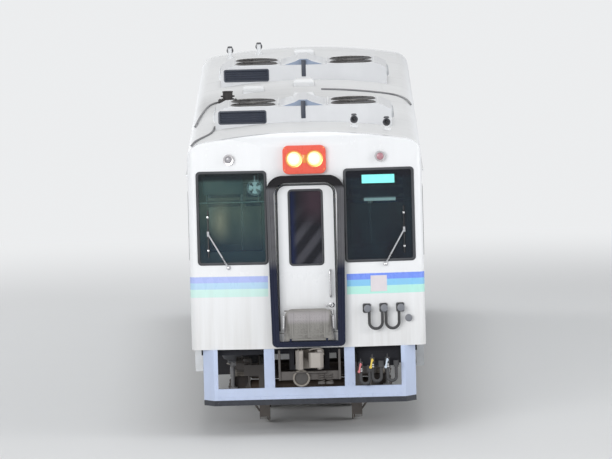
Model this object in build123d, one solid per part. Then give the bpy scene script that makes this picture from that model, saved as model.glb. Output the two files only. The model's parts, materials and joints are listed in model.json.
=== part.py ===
from build123d import *
from math import atan2, cos, degrees, hypot, radians, sin, tan
import os

# A single-car diesel railcar with a cab at each end, in millimetres.
# X runs across the car, Y along it with the photographed end towards -Y, and Z up.
# Z = 0 is the lowest point of the wheel flanges, and up() turns a height above the rail into Z.

# Wheels and axles
wheel_diameter = 810.0
flange_height = 27.0
wheel_back_to_back = 990.0
flange_thickness = 30.0
wheel_width = 125.0
wheel_rim_depth = 62.0
wheel_web_thickness = 24.0
wheel_hub_radius = 118.0
axle_radius = 78.0
journal_radius = 60.0
journal_length = 165.0
journal_centre = 815.0
tread_fall = 4.0
wheel_hub_inner_reach = 30.0
wheel_hub_outer_setback = 10.0
# The dished web: its foot on the hub, its lean half way and its head at the rim
web_foot = 8.0
web_foot_rise = 12.0
web_lean = 14.0
web_head = 6.0
web_head_fall = 4.0
flange_inner_bevel = 10.0
flange_outer_bevel = 8.0
flange_root = 4.0
flange_root_rise = 2.0
tread_bevel = 6.0
axle_step = 20.0


def up(height):
    """Z of a height above the top of the rail."""
    return flange_height + height


# Body shell
body_length = 18000.0
body_width = 2800.0
sill_bottom = up(1010)
sill_top = up(1150)
floor_top = up(1190)
floor_thickness = 50.0
roof_joint = up(3080)
shoulder_height = up(3450)
crown_height = up(3585)
shoulder_radius = 200.0
roof_end_radius = 170.0
corner_radius = 85.0
inner_corner_radius = 20.0
end_sweep = 90.0
end_flat_half = 520.0
end_cap_depth = 280.0
side_wall_thickness = 110.0
end_wall_thickness = 100.0
ceiling_side_height = up(3210)
ceiling_height = up(3310)
ceiling_radius = 150.0
gutter_size = 20.0
roof_strip_half = 1000.0
seam = 0.5
# How far joined solids run into each other, and cutting solids start outside
lap = 5.0

half_length = body_length / 2
half_width = body_width / 2

# Side doors and windows; a setback is measured in from the end of the body
door_setback = 1820.0
door_centre = half_length - door_setback
door_opening = 950.0
door_panel_thickness = 34.0
door_recess = 30.0
door_pocket_clearance = 7.0
door_overlap = 30.0
door_travel = 900.0
door_pocket_length = door_travel + 2 * door_overlap
door_head_gap = 8.0
door_sill_gap = 6.0
door_window_width = 560.0
door_window_bottom = up(1980)
door_window_top = up(2860)
door_shoe_length = 60.0
door_shoe_inset = 8.0
door_shoe_lap = 3.0
window_pitch = 1590.0
window_count = int(2 * (door_centre - door_opening / 2 - door_pocket_length) / window_pitch)
window_width = 1310.0
window_bottom = up(2010)
window_top = up(2900)
window_corner = 70.0
window_frame_width = 32.0
window_frame_proud = 6.0
window_frame_depth = 46.0
window_rail_height = up(2600)
glass_thickness = 10.0
windscreen_thickness = 12.0
step_half = 330.0
step_depth = 190.0
step_inset = 18.0
step_height = up(660)
step_thickness = 22.0
cab_window_setback = 760.0
cab_window_centre = half_length - cab_window_setback
cab_window_width = 620.0
cab_window_bottom = up(2060)
cab_window_top = up(2880)

# End wall, as in the photograph
windscreen_inner = 475.0
windscreen_side_margin = 115.0
windscreen_outer = half_width - windscreen_side_margin
windscreen_bottom = up(2040)
windscreen_top = up(3130)
windscreen_corner = 35.0
windscreen_recess = 10.0
doorway_half = 362.0
doorway_top = up(2985)
doorway_corner = 120.0
end_door_gap = 8.0
end_door_thickness = 42.0
end_door_recess = 16.0
end_door_window_half = 196.0
end_door_window_bottom = up(2010)
end_door_window_top = up(2900)
end_door_barrel = 11.0
end_door_barrel_gap = 3.0
end_door_window_corner = 40.0
hinge_shares = (0.12, 0.5, 0.85)
hinge_barrel_half = 45.0
hinge_strap_half = 40.0
hinge_strap_length = 60.0
hinge_lug_height = 40.0
hinge_lug_half_depth = 8.0
gangway_half_top = 468.0
gangway_half_bottom = 436.0
gangway_bottom = up(1035)
gangway_top = up(3085)
gangway_ring_width = 88.0
gangway_depth = 112.0
gangway_plate_thickness = 22.0
gangway_arch = 190.0
gangway_foot_radius = 60.0
gangway_foot_share = 0.6
bellows_folds = 3
bellows_fold_insets = (9.0, 20.0)
footplate_half = 300.0
footplate_length = 370.0
footplate_thickness = 12.0
footplate_corner = 95.0
footplate_lean = 4.0
footplate_hinge_height = up(1118)
footplate_barrel = 13.0
footplate_setoff = 8.0
footplate_taper = 26.0
footplate_rim = 22.0
footplate_rib_inset = 110.0
footplate_rib_half_width = 9.0
footplate_rib_depth = 10.0
footplate_lug_inset = 70.0
footplate_lug_width = 26.0
footplate_lug_half_depth = 10.0
footplate_lug_root = 20.0
footplate_notch_half_depth = 30.0
footplate_notch_drop = 20.0
footplate_notch_room = 2.0
lamp_box_half = 258.0
lamp_box_bottom = up(3100)
lamp_box_top = up(3440)
lamp_box_depth = 60.0
lamp_box_corner = 70.0
lamp_offset = 122.0
lamp_height = up(3280)
lamp_radius = 88.0
lamp_recess = 34.0
lamp_box_reach = 300.0
lens_edge = 12.0
lens_rise = 14.0
tail_lamp_inset = 500.0
tail_lamp_offset = half_width - tail_lamp_inset
tail_lamp_height = up(3285)
tail_lamp_radius = 62.0
tail_lamp_depth = 46.0
wiper_pivot_inset = 465.0
wiper_pivot_offset = half_width - wiper_pivot_inset
wiper_pivot_height = up(1992)
wiper_tip_inset = 230.0
wiper_tip_offset = half_width - wiper_tip_inset
wiper_tip_height = up(2400)
wiper_blade_length = 560.0
wiper_blade_width = 14.0
wiper_boss_radius = 24.0
wiper_boss_height = 26.0
wiper_arm_height = 18.0
wiper_arm_width = 16.0
wiper_arm_thickness = 12.0
wiper_clip = (26.0, 60.0, 20.0)
wiper_clip_height = 8.0
jumper_insets = (700.0, 500.0, 300.0)
jumper_offsets = [half_width - inset for inset in jumper_insets]
jumper_height = up(1470)
jumper_socket_radius = 33.0
jumper_cable_radius = 17.0
jumper_sag = 245.0
jumper_standoff = 62.0
jumper_plate = (96.0, 110.0, 16.0)
jumper_plate_thickness = 18.0
jumper_cap_reach = 26.0
jumper_cable_inset = 22.0
# The arcs of a hanging loop take up this share of its half width
loop_share = 0.98
spare_socket_offset = half_width - 205.0
spare_socket_height = up(1340)
spare_socket_radius = 36.0
spare_socket_depth = 40.0

# Skirt below the end wall
skirt_inset = 130.0
skirt_half = half_width - skirt_inset
skirt_bottom = up(400)
skirt_bar_height = 140.0
skirt_post_width = 125.0
skirt_inner_post_centre = 480.0
skirt_thickness = 50.0
skirt_setback = 22.0
skirt_return = 190.0
rubber_drop = 62.0
rubber_thickness = 18.0
strut_radius = 22.0
strut_foot_thickness = 30.0
strut_foot_rise = 30.0
strut_foot_below = 50.0
strut_foot_above = 80.0
strut_bar_drop = 60.0

# Coupler
coupler_height = up(880)
coupler_overhang = 250.0
coupler_reach = half_length + coupler_overhang
coupler_pivot_setback = 620.0
coupler_pivot = half_length - coupler_pivot_setback
coupler_swing = 10.0
coupler_pin_radius = 38.0
coupler_pin_gap = 0.4
shank_half = 62.0
coupler_head_half = 165.0
coupler_head_height = 220.0
coupler_boss_height = 8.0
coupler_jaw_depth = 140.0
coupler_eye_wall = 42.0
coupler_eye_radius = coupler_pin_radius + coupler_eye_wall
coupler_head_length = 330.0
coupler_shank_lap = 20.0
# Plan of the head: distances in from the guard arm's side, or from the knuckle's side, and back from the face
coupler_guard_points = ((0.0, 120.0), (46.0, 20.0), (90.0, 60.0), (96.0, 190.0))
coupler_throat_points = ((110.0, 205.0), (90.0, coupler_jaw_depth), (0.0, coupler_jaw_depth - 30))
coupler_knuckle_points = (
    (96.0, 160.0), (6.0, 160.0), (-4.0, 60.0), (36.0, 0.0),
    (150.0, 20.0), (175.0, 62.0), (150.0, 104.0), (96.0, 92.0),
)
coupler_heel = 90.0
coupler_shoulder = 60.0
coupler_nose_radius = 12.0
coupler_knuckle_inset = 22.0
knuckle_pin_inset = 46.0
knuckle_pin_radius = 26.0
lock_boss_setback = 250.0
lock_boss_radius = 34.0

# Air hoses: X of the cock, its height above the rail, and the depth of the hanging loop
hoses = ((610.0, 800.0, 230.0), (750.0, 850.0, 250.0), (930.0, 850.0, 250.0))
hose_radius = 19.0
hose_loop_half = 52.0
hose_standoff = 62.0
hose_pipe_radius = 17.0
hose_pipe_end = 40.0
cock_half_width = 26.0
cock_front = 24.0
cock_back = 42.0
cock_half_height = 30.0
cock_lever_half_width = 6.0
cock_lever_front = 34.0
cock_lever_back = 20.0
cock_lever_drop = 10.0
cock_lever_rise = 74.0
hose_end_drop = 60.0
hose_head_half_width = 30.0
hose_head_half_depth = 26.0
hose_head_bottom = 84.0
hose_head_top = 10.0
hose_stay_start = 20.0
hose_stay_drop = 40.0
hose_stay_radius = 10.0

# Underframe
underframe_top = floor_top - floor_thickness
underframe_bottom = up(930)
sill_beam_width = 95.0
centre_beam_offset = 240.0
centre_beam_width = 70.0
cross_bearer_pitch = 1150.0
cross_bearer_width = 60.0
bolster_length = 620.0
bolster_bottom = up(905)
draft_box_setback = 140.0
draft_box_front = half_length - draft_box_setback
draft_box_overrun = 160.0
draft_box_back = coupler_pivot - draft_box_overrun
draft_box_bottom = up(740)
draft_slot_half_height = 82.0
draft_back_wall = 40.0
draft_side_room = 20.0
wear_ring_width = 25.0
headstock_setback = 200.0
headstock_front = half_length - headstock_setback
headstock_depth = 70.0
headstock_inset = 310.0
headstock_half = half_width - headstock_inset
jack_pad_length = 240.0
jack_pad_half_width = 45.0
jack_pad_thickness = 14.0
hose_plate_thickness = 16.0
hose_plate_bottom = up(760)
hose_plate_margin = 40.0

# Bogies
bogie_setback = 2800.0
bogie_offset = half_length - bogie_setback
bogie_wheelbase = 1900.0
jack_pad_setback = 1250.0
jack_pad_station = bogie_offset - jack_pad_setback
side_beam_width = 150.0
side_beam_half_length = 1290.0
side_beam_depth = 135.0
side_beam_end_bottom = up(610)
side_beam_mid_bottom = up(465)
side_beam_flat_half = 430.0
side_beam_bend = 720.0
side_beam_nose_rise = 40.0
side_beam_nose_length = 60.0
side_beam_top_fall = 30.0
side_beam_top_length = 40.0
cross_tube_radius = 82.0
cross_tube_offset = 245.0
cross_tube_height = up(535)
centre_pin_radius = 65.0
centre_pin_gap = 0.3
hub_radius = 125.0
hub_proud = 5.0
hub_block_half_width = 190.0
hub_block_half_height = 60.0
air_spring_radius = 262.0
air_spring_top_gap = 0.4
spring_pot_radius = 74.0
# The bellows' outline from its foot: shares of its radius and of its height
air_spring_outline = (
    (0.0, 0.0), (0.72, 0.0), (0.72, 0.16), (0.9, 0.22), (1.0, 0.38), (0.97, 0.5), (0.86, 0.56), (0.97, 0.64),
    (1.0, 0.76), (0.92, 0.88), (0.96, 0.9), (0.96, 1.0), (0.0, 1.0),
)
axle_box_inset = 12.0
axle_box_reach = 40.0
axle_cap_depth = 26.0
axle_cap_radius = 96.0
axle_bore_reach = 6.0
axle_box_half_length = 130.0
axle_box_half_height = 125.0
journal_gap = 0.3
life_guard_gap = 25.0
life_guard_thickness = 16.0
life_guard_bottom = up(75)
life_guard_lap = 30.0
life_guard_arm_width = 60.0
life_guard_arm_rise = 50.0
life_guard_arm_fall = 40.0
life_guard_cross_drop = 90.0
life_guard_plate_drop = 80.0
brake_shoe_gap = 10.0
brake_shoe_inner = 18.0
brake_shoe_outer = 8.0
brake_shoe_thickness = 60.0
brake_shoe_share = 0.8
brake_shoe_drop = 60.0
brake_shoe_rise = 190.0
brake_offset = 12.0
brake_root = 25.0
brake_arm_half_width = 40.0
brake_arm_end = 40.0
brake_arm_drop = 40.0
brake_arm_rise = 50.0
brake_cylinder_rise = 5.0
brake_cylinder_end = 38.0
brake_cylinder_radius = 62.0
gear_case_half_width = 150.0
gear_case_radius = 235.0
gear_nose_length = 420.0
gear_nose_radius = 110.0
gear_flange_reach = 450.0
gear_flange_radius = 92.0
torque_arm_half_width = 70.0
torque_arm_start = 150.0
torque_arm_half_height = 50.0
gear_bore_half_length = 200.0

# Roof units: two of one kind, the second one further from its end of the car than the first
roof_unit_setback = 2850.0
roof_unit_pitch = 8400.0
roof_unit_stations = (roof_unit_setback - half_length, roof_unit_setback - half_length + roof_unit_pitch)
roof_unit_inset = 330.0
roof_unit_half_width = half_width - roof_unit_inset
roof_unit_length = 1500.0
roof_unit_height = 190.0
roof_unit_chamfer = 60.0
louvre_inner = 470.0
louvre_margin = 60.0
louvre_outer = roof_unit_half_width - louvre_margin
louvre_height = 120.0
louvre_slats = 4
hump_half = 270.0
hump_height = 75.0
hump_rib_half = 45.0
hump_slope_run = 60.0
hump_knee_share = 0.6
hump_end_gap = 40.0
roof_unit_root = 40.0
louvre_depth = 30.0
slat_setback = 14.0
slat_tilt = 35.0
slat_end_lap = 2.0
slat_width = 26.0
slat_thickness = 5.0
# X and Y of each ventilator's middle
ventilator_places = (
    (0.0, 300.0), (-640.0, -350.0), (0.0, -3900.0), (0.0, -2400.0), (0.0, 5200.0), (0.0, 6900.0),
)
ventilator_half_width = 130.0
ventilator_half_length = 170.0
ventilator_height = 85.0
ventilator_base_depth = 130.0
horn_setback = 1250.0
horn_offsets = (610.0, 1000.0)
horn_radius = 26.0
horn_height = 150.0
stack_offset = 440.0 - half_width
stack_station = -1650.0
stack_radius = 62.0
stack_foot_height = 28.0
stack_top = up(3650)
stack_bore_depth = 90.0
stack_wall = 8.0
stack_foot_width = 60.0
roof_overlap = 60.0


def block(x0, x1, y0, y1, z0, z1):
    """A box between two corners."""
    centre = Pos((x0 + x1) / 2, (y0 + y1) / 2, (z0 + z1) / 2)
    return centre * Box(abs(x1 - x0), abs(y1 - y0), abs(z1 - z0))


def rod(start, end, radius):
    """A round bar between two points."""
    axis = Vector(*end) - Vector(*start)
    plane = Plane(origin=start, z_dir=axis)
    return plane * extrude(Circle(radius), axis.length)


def tube_along(points, bends, radius):
    """A round tube along straight runs joined by arcs."""
    route = FilletPolyline(*points, radius=bends)
    return sweep(Plane(origin=route @ 0, z_dir=route % 0) * Circle(radius), path=route)


def both_sides(shape):
    return shape + mirror(shape, Plane.YZ)


def other_end(shape):
    """The same piece at the far end: the car turned half round."""
    return Rot(0, 0, 180) * shape


def both_ends(shape):
    return shape + other_end(shape)


def plan_outline(side_inset, end_inset, radius):
    """Plan of the body, drawn in by so much at its sides and ends."""
    x = half_width - side_inset
    y = half_length - end_inset
    bend = end_flat_half
    corner_y = y - end_sweep * (x - bend) / (half_width - bend)
    right = [(x, -corner_y), (x, corner_y), (bend, y), (-bend, y), (-x, corner_y), (-x, -corner_y)]
    face = make_face(Polyline(*right, (-bend, -y), (bend, -y), close=True))
    corners = [v for v in face.vertices() if abs(abs(v.X) - x) < 1e-3]
    return fillet(corners, radius)


def cross_section(half, bottom, shoulder, crown, radius):
    """Cross-section with upright sides and an arched roof, in X and Z."""
    sides = Polyline((-half, shoulder), (-half, bottom), (half, bottom), (half, shoulder))
    arch = ThreePointArc((half, shoulder), (0, crown), (-half, shoulder))
    face = make_face(sides + arch)
    corners = [v for v in face.vertices() if abs(v.Y - shoulder) < 1e-3]
    return Plane.XZ * fillet(corners, radius)


def body_form(side_inset, end_inset, roof_inset, bottom, radius):
    """The body's outer form, or its inner space, from its plan, cross-section and side view."""
    half = half_width - side_inset
    length = half_length - end_inset
    crown = crown_height - roof_inset
    section = cross_section(half, bottom, shoulder_height - roof_inset, crown, shoulder_radius)
    form = extrude(section, half_length, both=True)
    form &= extrude(Pos(0, 0, bottom) * plan_outline(side_inset, end_inset, radius), crown - bottom)
    corners = Polyline((-length, bottom), (length, bottom), (length, crown), (-length, crown), close=True)
    face = make_face(corners)
    profile = fillet([v for v in face.vertices() if v.Y > bottom + 1], roof_end_radius)
    return form & extrude(Plane.YZ * profile, half_width, both=True)


outer_form = body_form(0, 0, 0, sill_bottom, corner_radius)


def inner_space():
    """The room inside the walls, up to the ceiling."""
    half = half_width - side_wall_thickness
    bottom = sill_bottom - 2 * lap
    section = cross_section(half, bottom, ceiling_side_height, ceiling_height, ceiling_radius)
    space = extrude(section, half_length, both=True)
    plan = plan_outline(side_wall_thickness, end_wall_thickness, inner_corner_radius)
    return space & extrude(Pos(0, 0, bottom) * plan, ceiling_height - bottom)


shell = outer_form - inner_space()


def ceiling_at(x):
    """Z of the arched ceiling at a distance from the car's centre line."""
    half = half_width - side_wall_thickness
    rise = ceiling_height - ceiling_side_height
    radius = (half ** 2 + rise ** 2) / (2 * rise)
    return ceiling_height - radius + (radius ** 2 - x ** 2) ** 0.5


# The flat part of the end wall beside the doorway is swept back: U runs along it, V up and W outwards.
facet_angle = atan2(end_sweep, half_width - end_flat_half)
facet = Plane(
    origin=(end_flat_half, -half_length, 0),
    x_dir=(cos(facet_angle), sin(facet_angle), 0),
    z_dir=(sin(facet_angle), -cos(facet_angle), 0),
)


def along_facet(offset):
    """U of a place on the swept part that lies so far from the car's centre line."""
    return (offset - end_flat_half) / cos(facet_angle)


def doorway_outline(half, bottom, top, radius):
    """An upright opening with rounded top corners, in X and Z."""
    face = make_face(Polyline((-half, bottom), (half, bottom), (half, top), (-half, top), close=True))
    return Plane.XZ * fillet([v for v in face.vertices() if v.Y > bottom + 1], radius)


def windscreen_outline(inset):
    u0, u1 = along_facet(windscreen_inner) + inset, along_facet(windscreen_outer) - inset
    v0, v1 = windscreen_bottom + inset, windscreen_top - inset
    return Pos((u0 + u1) / 2, (v0 + v1) / 2) * RectangleRounded(u1 - u0, v1 - v0, windscreen_corner)


def end_wall():
    """The end cap: its wall, corners and roof end, with the doorway and both windscreens cut."""
    y1 = end_cap_depth - half_length
    cap = shell & block(-half_width, half_width, -half_length, y1, sill_bottom, crown_height)
    doorway = doorway_outline(doorway_half, floor_top, doorway_top, doorway_corner)
    cap -= Pos(0, -half_length + end_wall_thickness, 0) * extrude(doorway, 2 * end_wall_thickness, both=True)
    hole = facet * extrude(Pos(0, 0, -2 * end_wall_thickness) * windscreen_outline(0), 3 * end_wall_thickness)
    return cap - both_sides(hole)


def cab_side():
    """The side of one cab, between the end cap and the side door."""
    y0, y1 = end_cap_depth - half_length, -door_centre - door_opening / 2
    wall = shell & block(half_width - side_wall_thickness, half_width, y0, y1, sill_bottom, roof_joint)
    return wall - side_hole(-cab_window_centre, cab_window_width, cab_window_bottom, cab_window_top, 0)


def side_hole(y, width, bottom, top, inset):
    """A rounded window hole through the right side wall."""
    face = RectangleRounded(width - 2 * inset, top - bottom - 2 * inset, window_corner)
    place = Plane.YZ * Pos(y, (bottom + top) / 2)
    return extrude(place * face, half_width + window_frame_proud)


def window_places():
    """Centre, width, bottom and top of every window on the right side."""
    first = -(window_count - 1) / 2
    saloon = [
        (window_pitch * (first + i), window_width, window_bottom, window_top) for i in range(window_count)
    ]
    cabs = [(s * cab_window_centre, cab_window_width, cab_window_bottom, cab_window_top) for s in (-1, 1)]
    return saloon, cabs


def side_wall():
    """The right side wall between its doors, with window holes and a pocket for each door."""
    end = door_centre - door_opening / 2
    x0 = half_width - side_wall_thickness
    wall = shell & block(x0, half_width, -end, end, sill_bottom, roof_joint)
    for place in window_places()[0]:
        wall -= side_hole(*place, 0)
    for y in (-end, end):
        inward = -y / abs(y) * door_pocket_length
        px1 = half_width - door_recess + door_pocket_clearance
        px0 = half_width - door_recess - door_panel_thickness - door_pocket_clearance
        wall -= block(px0, px1, y, y + inward, sill_top, roof_joint)
    return wall


def window_frame(y, width, bottom, top, rail):
    """An aluminium frame with a sliding rail across it, in a window hole of the right side."""
    outer = side_hole(y, width, bottom, top, seam)
    inner = side_hole(y, width, bottom, top, window_frame_width)
    depth = block(
        half_width - window_frame_depth, half_width + window_frame_proud, y - width, y + width, bottom, top
    )
    ring = (outer & depth) - inner
    if rail:
        half = window_frame_width / 2
        x0 = half_width - window_frame_depth
        bar = block(x0, half_width, y - width, y + width, rail - half, rail + half)
        return ring + (bar & inner)
    half = window_frame_width / 2
    post = block(half_width - window_frame_depth, half_width, y - half, y + half, bottom, top)
    return ring + (post & inner)


def window_panes(y, width, bottom, top, rail):
    """The two panes of one window of the right side."""
    x0 = half_width - window_frame_depth / 2
    sheet = side_hole(y, width, bottom, top, window_frame_width + seam)
    sheet &= block(x0 - glass_thickness, x0, y - width, y + width, bottom, top)
    half = window_frame_width / 2 + seam
    if rail:
        return sheet - block(0, half_width, y - width, y + width, rail - half, rail + half)
    return sheet - block(0, half_width, y - half, y + half, bottom, top)


def all_windows(maker):
    """Every window's frame or panes, on both sides of the car."""
    saloon, cabs = window_places()
    made = [maker(*place, window_rail_height) for place in saloon] + [maker(*place, None) for place in cabs]
    right = Part() + made
    return both_sides(right)


def roof():
    """The roof between the end caps: a middle strip, two shoulders and their gutters."""
    length = half_length - end_cap_depth
    lid = Part()
    half_seam = seam / 2
    for x0, x1 in (
        (-half_width, -roof_strip_half - half_seam),
        (half_seam - roof_strip_half, roof_strip_half - half_seam),
        (roof_strip_half + half_seam, half_width),
    ):
        lid += shell & block(x0, x1, -length, length, roof_joint, crown_height)
    gutter_top = roof_joint + gutter_size
    gutter = block(half_width - seam, half_width + gutter_size, -length, length, roof_joint, gutter_top)
    return lid + both_sides(gutter)


def floor_slab():
    plan = plan_outline(side_wall_thickness + seam, end_wall_thickness + seam, inner_corner_radius)
    return extrude(Pos(0, 0, floor_top - floor_thickness) * plan, floor_thickness)


def door_sill():
    """The threshold below the right front side door, with a stirrup step hung from it."""
    y = -door_centre
    half = door_opening / 2
    sill = block(half_width - side_wall_thickness, half_width, y - half, y + half, sill_bottom, sill_top)
    x0, x1 = half_width - side_wall_thickness, half_width - step_inset
    step_bottom = step_height - step_thickness
    sill += block(x1 - step_depth, x1, y - step_half, y + step_half, step_bottom, step_height)
    for side in (-1, 1):
        outer = y + side * (step_half + seam)
        hanger = outer + side * step_thickness
        top = sill_bottom - seam
        sill += block(x0, x1, outer, hanger, step_height - step_thickness, top)
    return sill


def side_door():
    """The right front side door: one sliding leaf with guide shoes, its window cut."""
    y0 = -door_centre - door_opening / 2 + door_pocket_clearance
    y1 = -door_centre + door_opening / 2 + door_overlap
    x1 = half_width - door_recess
    x0 = x1 - door_panel_thickness
    z0, z1 = sill_top + door_sill_gap, roof_joint - door_head_gap
    leaf = block(x0, x1, y0, y1, z0, z1)
    leaf -= side_hole(-door_centre, door_window_width, door_window_bottom, door_window_top, 0)
    shoe_x0, shoe_x1 = x0 + door_shoe_inset, x1 - door_shoe_inset
    for y in (y0 + door_shoe_length, y1 - 2 * door_shoe_length):
        end = y + door_shoe_length
        leaf += block(shoe_x0, shoe_x1, y, end, z0 - door_sill_gap + seam, z0 + door_shoe_lap)
        leaf += block(shoe_x0, shoe_x1, y, end, z1 - door_shoe_lap, z1 + door_head_gap - seam)
    return leaf


def side_door_glass():
    x1 = half_width - door_recess - (door_panel_thickness - glass_thickness) / 2
    pane = side_hole(-door_centre, door_window_width, door_window_bottom, door_window_top, seam)
    y0, y1 = -door_centre - door_window_width, -door_centre + door_window_width
    return pane & block(x1 - glass_thickness, x1, y0, y1, door_window_bottom, door_window_top)


def end_door():
    """The door in the end wall, hung at its left edge and opening into the car."""
    half = doorway_half - end_door_gap
    y0 = -half_length + end_door_recess
    outline = doorway_outline(half, floor_top + end_door_gap, doorway_top - end_door_gap, doorway_corner)
    leaf = Pos(0, y0 + end_door_thickness, 0) * extrude(outline, end_door_thickness)
    hole = Plane.XZ * Pos(0, (end_door_window_bottom + end_door_window_top) / 2) * end_door_window(0)
    leaf -= Pos(0, y0, 0) * extrude(hole, 2 * end_door_thickness, both=True)
    hinge_x, hinge_y = end_door_axis()
    strap_y = hinge_y - end_door_barrel - end_door_barrel_gap
    strap_end = hinge_x + hinge_strap_length
    for z in hinge_heights():
        barrel_z0, barrel_z1 = z - hinge_barrel_half, z + hinge_barrel_half
        leaf += rod((hinge_x, hinge_y, barrel_z0), (hinge_x, hinge_y, barrel_z1), end_door_barrel)
        leaf += block(hinge_x, strap_end, strap_y, hinge_y, z - hinge_strap_half, z + hinge_strap_half)
    return leaf


def end_door_axis():
    """X and Y of the end door's hinge line, inside the wall at the door's left edge."""
    x = -doorway_half + end_door_gap + end_door_barrel
    y = -half_length + end_door_recess + end_door_thickness + end_door_barrel + end_door_barrel_gap
    return x, y


def hinge_heights():
    return [floor_top + share * (doorway_top - floor_top) for share in hinge_shares]


def end_door_window(inset):
    width = 2 * (end_door_window_half - inset)
    height = end_door_window_top - end_door_window_bottom - 2 * inset
    return RectangleRounded(width, height, end_door_window_corner)


def end_door_glass():
    y = -half_length + end_door_recess + (end_door_thickness + glass_thickness) / 2
    place = Plane.XZ * Pos(0, (end_door_window_bottom + end_door_window_top) / 2)
    return Pos(0, y, 0) * extrude(place * end_door_window(seam), glass_thickness)


def door_hinge_lugs():
    """The fixed halves of the end door's hinges, on the reveal of the doorway."""
    x, y = end_door_axis()
    lugs = Part()
    for z in hinge_heights():
        for z0 in (z - hinge_barrel_half - seam - hinge_lug_height, z + hinge_barrel_half + seam):
            z1 = z0 + hinge_lug_height
            lugs += rod((x, y, z0), (x, y, z1), end_door_barrel)
            lugs += block(-doorway_half - lap, x, y - hinge_lug_half_depth, y + hinge_lug_half_depth, z0, z1)
    return lugs


def gangway_ring(grow, depth0, depth1):
    """A closed ring around the doorway, wider at the top, between two distances before the end wall."""
    top_half, bottom_half = gangway_half_top + grow, gangway_half_bottom + grow
    top, bottom = gangway_top + grow, gangway_bottom - grow
    outline = [(-bottom_half, bottom), (bottom_half, bottom), (top_half, top), (-top_half, top)]
    outer = make_face(Polyline(*outline, close=True))
    outer = fillet([v for v in outer.vertices() if v.Y > bottom + 1], gangway_arch + grow)
    outer = fillet([v for v in outer.vertices() if v.Y < bottom + 1], gangway_foot_radius + grow)
    w = gangway_ring_width + grow
    foot = bottom + w * gangway_foot_share
    hole_foot, hole_top = bottom_half - w, top_half - w
    hole = [(-hole_foot, foot), (hole_foot, foot), (hole_top, top - w), (-hole_top, top - w)]
    inner = make_face(Polyline(*hole, close=True))
    inner = fillet([v for v in inner.vertices() if v.Y > foot + 1], gangway_arch - w / 2)
    ring = Plane.XZ * (outer - inner)
    return Pos(0, -half_length - depth0, 0) * extrude(ring, depth1 - depth0)


def gangway_frame():
    """The frame for joining two cars: a folded bellows and a steel face plate, with the footplate's lugs."""
    plate_back = gangway_depth - gangway_plate_thickness
    fold = plate_back / (2 * bellows_folds)
    frame = gangway_ring(0, plate_back, gangway_depth)
    high_inset, low_inset = bellows_fold_insets
    for i in range(bellows_folds):
        frame += gangway_ring(-high_inset, 2 * i * fold, (2 * i + 1) * fold)
        frame += gangway_ring(-low_inset, (2 * i + 1) * fold, (2 * i + 2) * fold)
    y = footplate_axis_y()
    lug_bottom = gangway_bottom + footplate_lug_root
    for side in (-1, 1):
        x0, x1 = footplate_lug_limits(side)
        y0, y1 = y - footplate_lug_half_depth, y + footplate_lug_half_depth
        lug = block(x0, x1, y0, y1, lug_bottom, footplate_hinge_height)
        frame += lug + rod((x0, y, footplate_hinge_height), (x1, y, footplate_hinge_height), footplate_barrel)
    return frame


def footplate_axis_y():
    return -half_length - gangway_depth + footplate_barrel + footplate_setoff


def footplate_lug_limits(side):
    """X of the outer and inner face of one fixed hinge lug."""
    return side * (footplate_half - footplate_lug_inset), side * (
        footplate_half - footplate_lug_inset - footplate_lug_width
    )


def footplate():
    """The plate that folds down over the couplers, standing up and leaning on nothing but its stop."""
    y, z = footplate_axis_y(), footplate_hinge_height
    face = make_face(
        Polyline(
            (-footplate_half, 0),
            (footplate_half, 0),
            (footplate_half - footplate_taper, footplate_length),
            (-footplate_half + footplate_taper, footplate_length),
            close=True,
        )
    )
    face = fillet([v for v in face.vertices() if v.Y > 1], footplate_corner)
    plate = extrude(Plane.XZ * face, footplate_thickness / 2, both=True)
    rib_front = -footplate_thickness / 2 - footplate_rib_depth
    rib_top = footplate_length - footplate_rim
    for side in (-1, 0, 1):
        x = side * (footplate_half - footplate_rib_inset)
        x0, x1 = x - footplate_rib_half_width, x + footplate_rib_half_width
        plate += block(x0, x1, rib_front, 0, footplate_rim, rib_top)
    reach = footplate_notch_half_depth
    notch_top = footplate_barrel + footplate_notch_room
    for side in (-1, 1):
        x0, x1 = footplate_lug_limits(side)
        gap = side * seam
        plate -= block(x0 + gap, x1 - gap, -reach, reach, -footplate_notch_drop, notch_top)
    lug_outer, lug_inner = footplate_lug_limits(1)
    spans = (
        (-footplate_half, -lug_outer - seam),
        (-lug_inner + seam, lug_inner - seam),
        (lug_outer + seam, footplate_half),
    )
    for x0, x1 in spans:
        plate += rod((x0, 0, 0), (x1, 0, 0), footplate_barrel)
    return Pos(0, y, z) * Rot(-footplate_lean, 0, 0) * plate


def lamp_housing():
    """The box above the doorway that holds the two headlamps."""
    width, height = 2 * lamp_box_half, lamp_box_top - lamp_box_bottom
    face = Pos(0, (lamp_box_top + lamp_box_bottom) / 2) * RectangleRounded(width, height, lamp_box_corner)
    front = -half_length - lamp_box_depth
    box = Pos(0, front + lamp_box_reach, 0) * extrude(Plane.XZ * face, lamp_box_reach)
    box -= outer_form
    for side in (-1, 1):
        x = side * lamp_offset
        box -= rod((x, front - lap, lamp_height), (x, front + lamp_recess, lamp_height), lamp_radius)
    return box


def domed_disc(radius, edge, rise):
    """A disc with a straight edge and one domed face, standing on Z = 0."""
    sphere = (radius ** 2 + rise ** 2) / (2 * rise)
    half_turn = atan2(radius, sphere - rise) / 2
    middle = (sphere * sin(half_turn), edge + rise - sphere + sphere * cos(half_turn))
    outline = Polyline((0, edge + rise), (0, 0), (radius, 0), (radius, edge))
    face = make_face(outline + ThreePointArc((radius, edge), middle, (0, edge + rise)))
    return revolve(Plane.XZ * face, Axis.Z)


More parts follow.
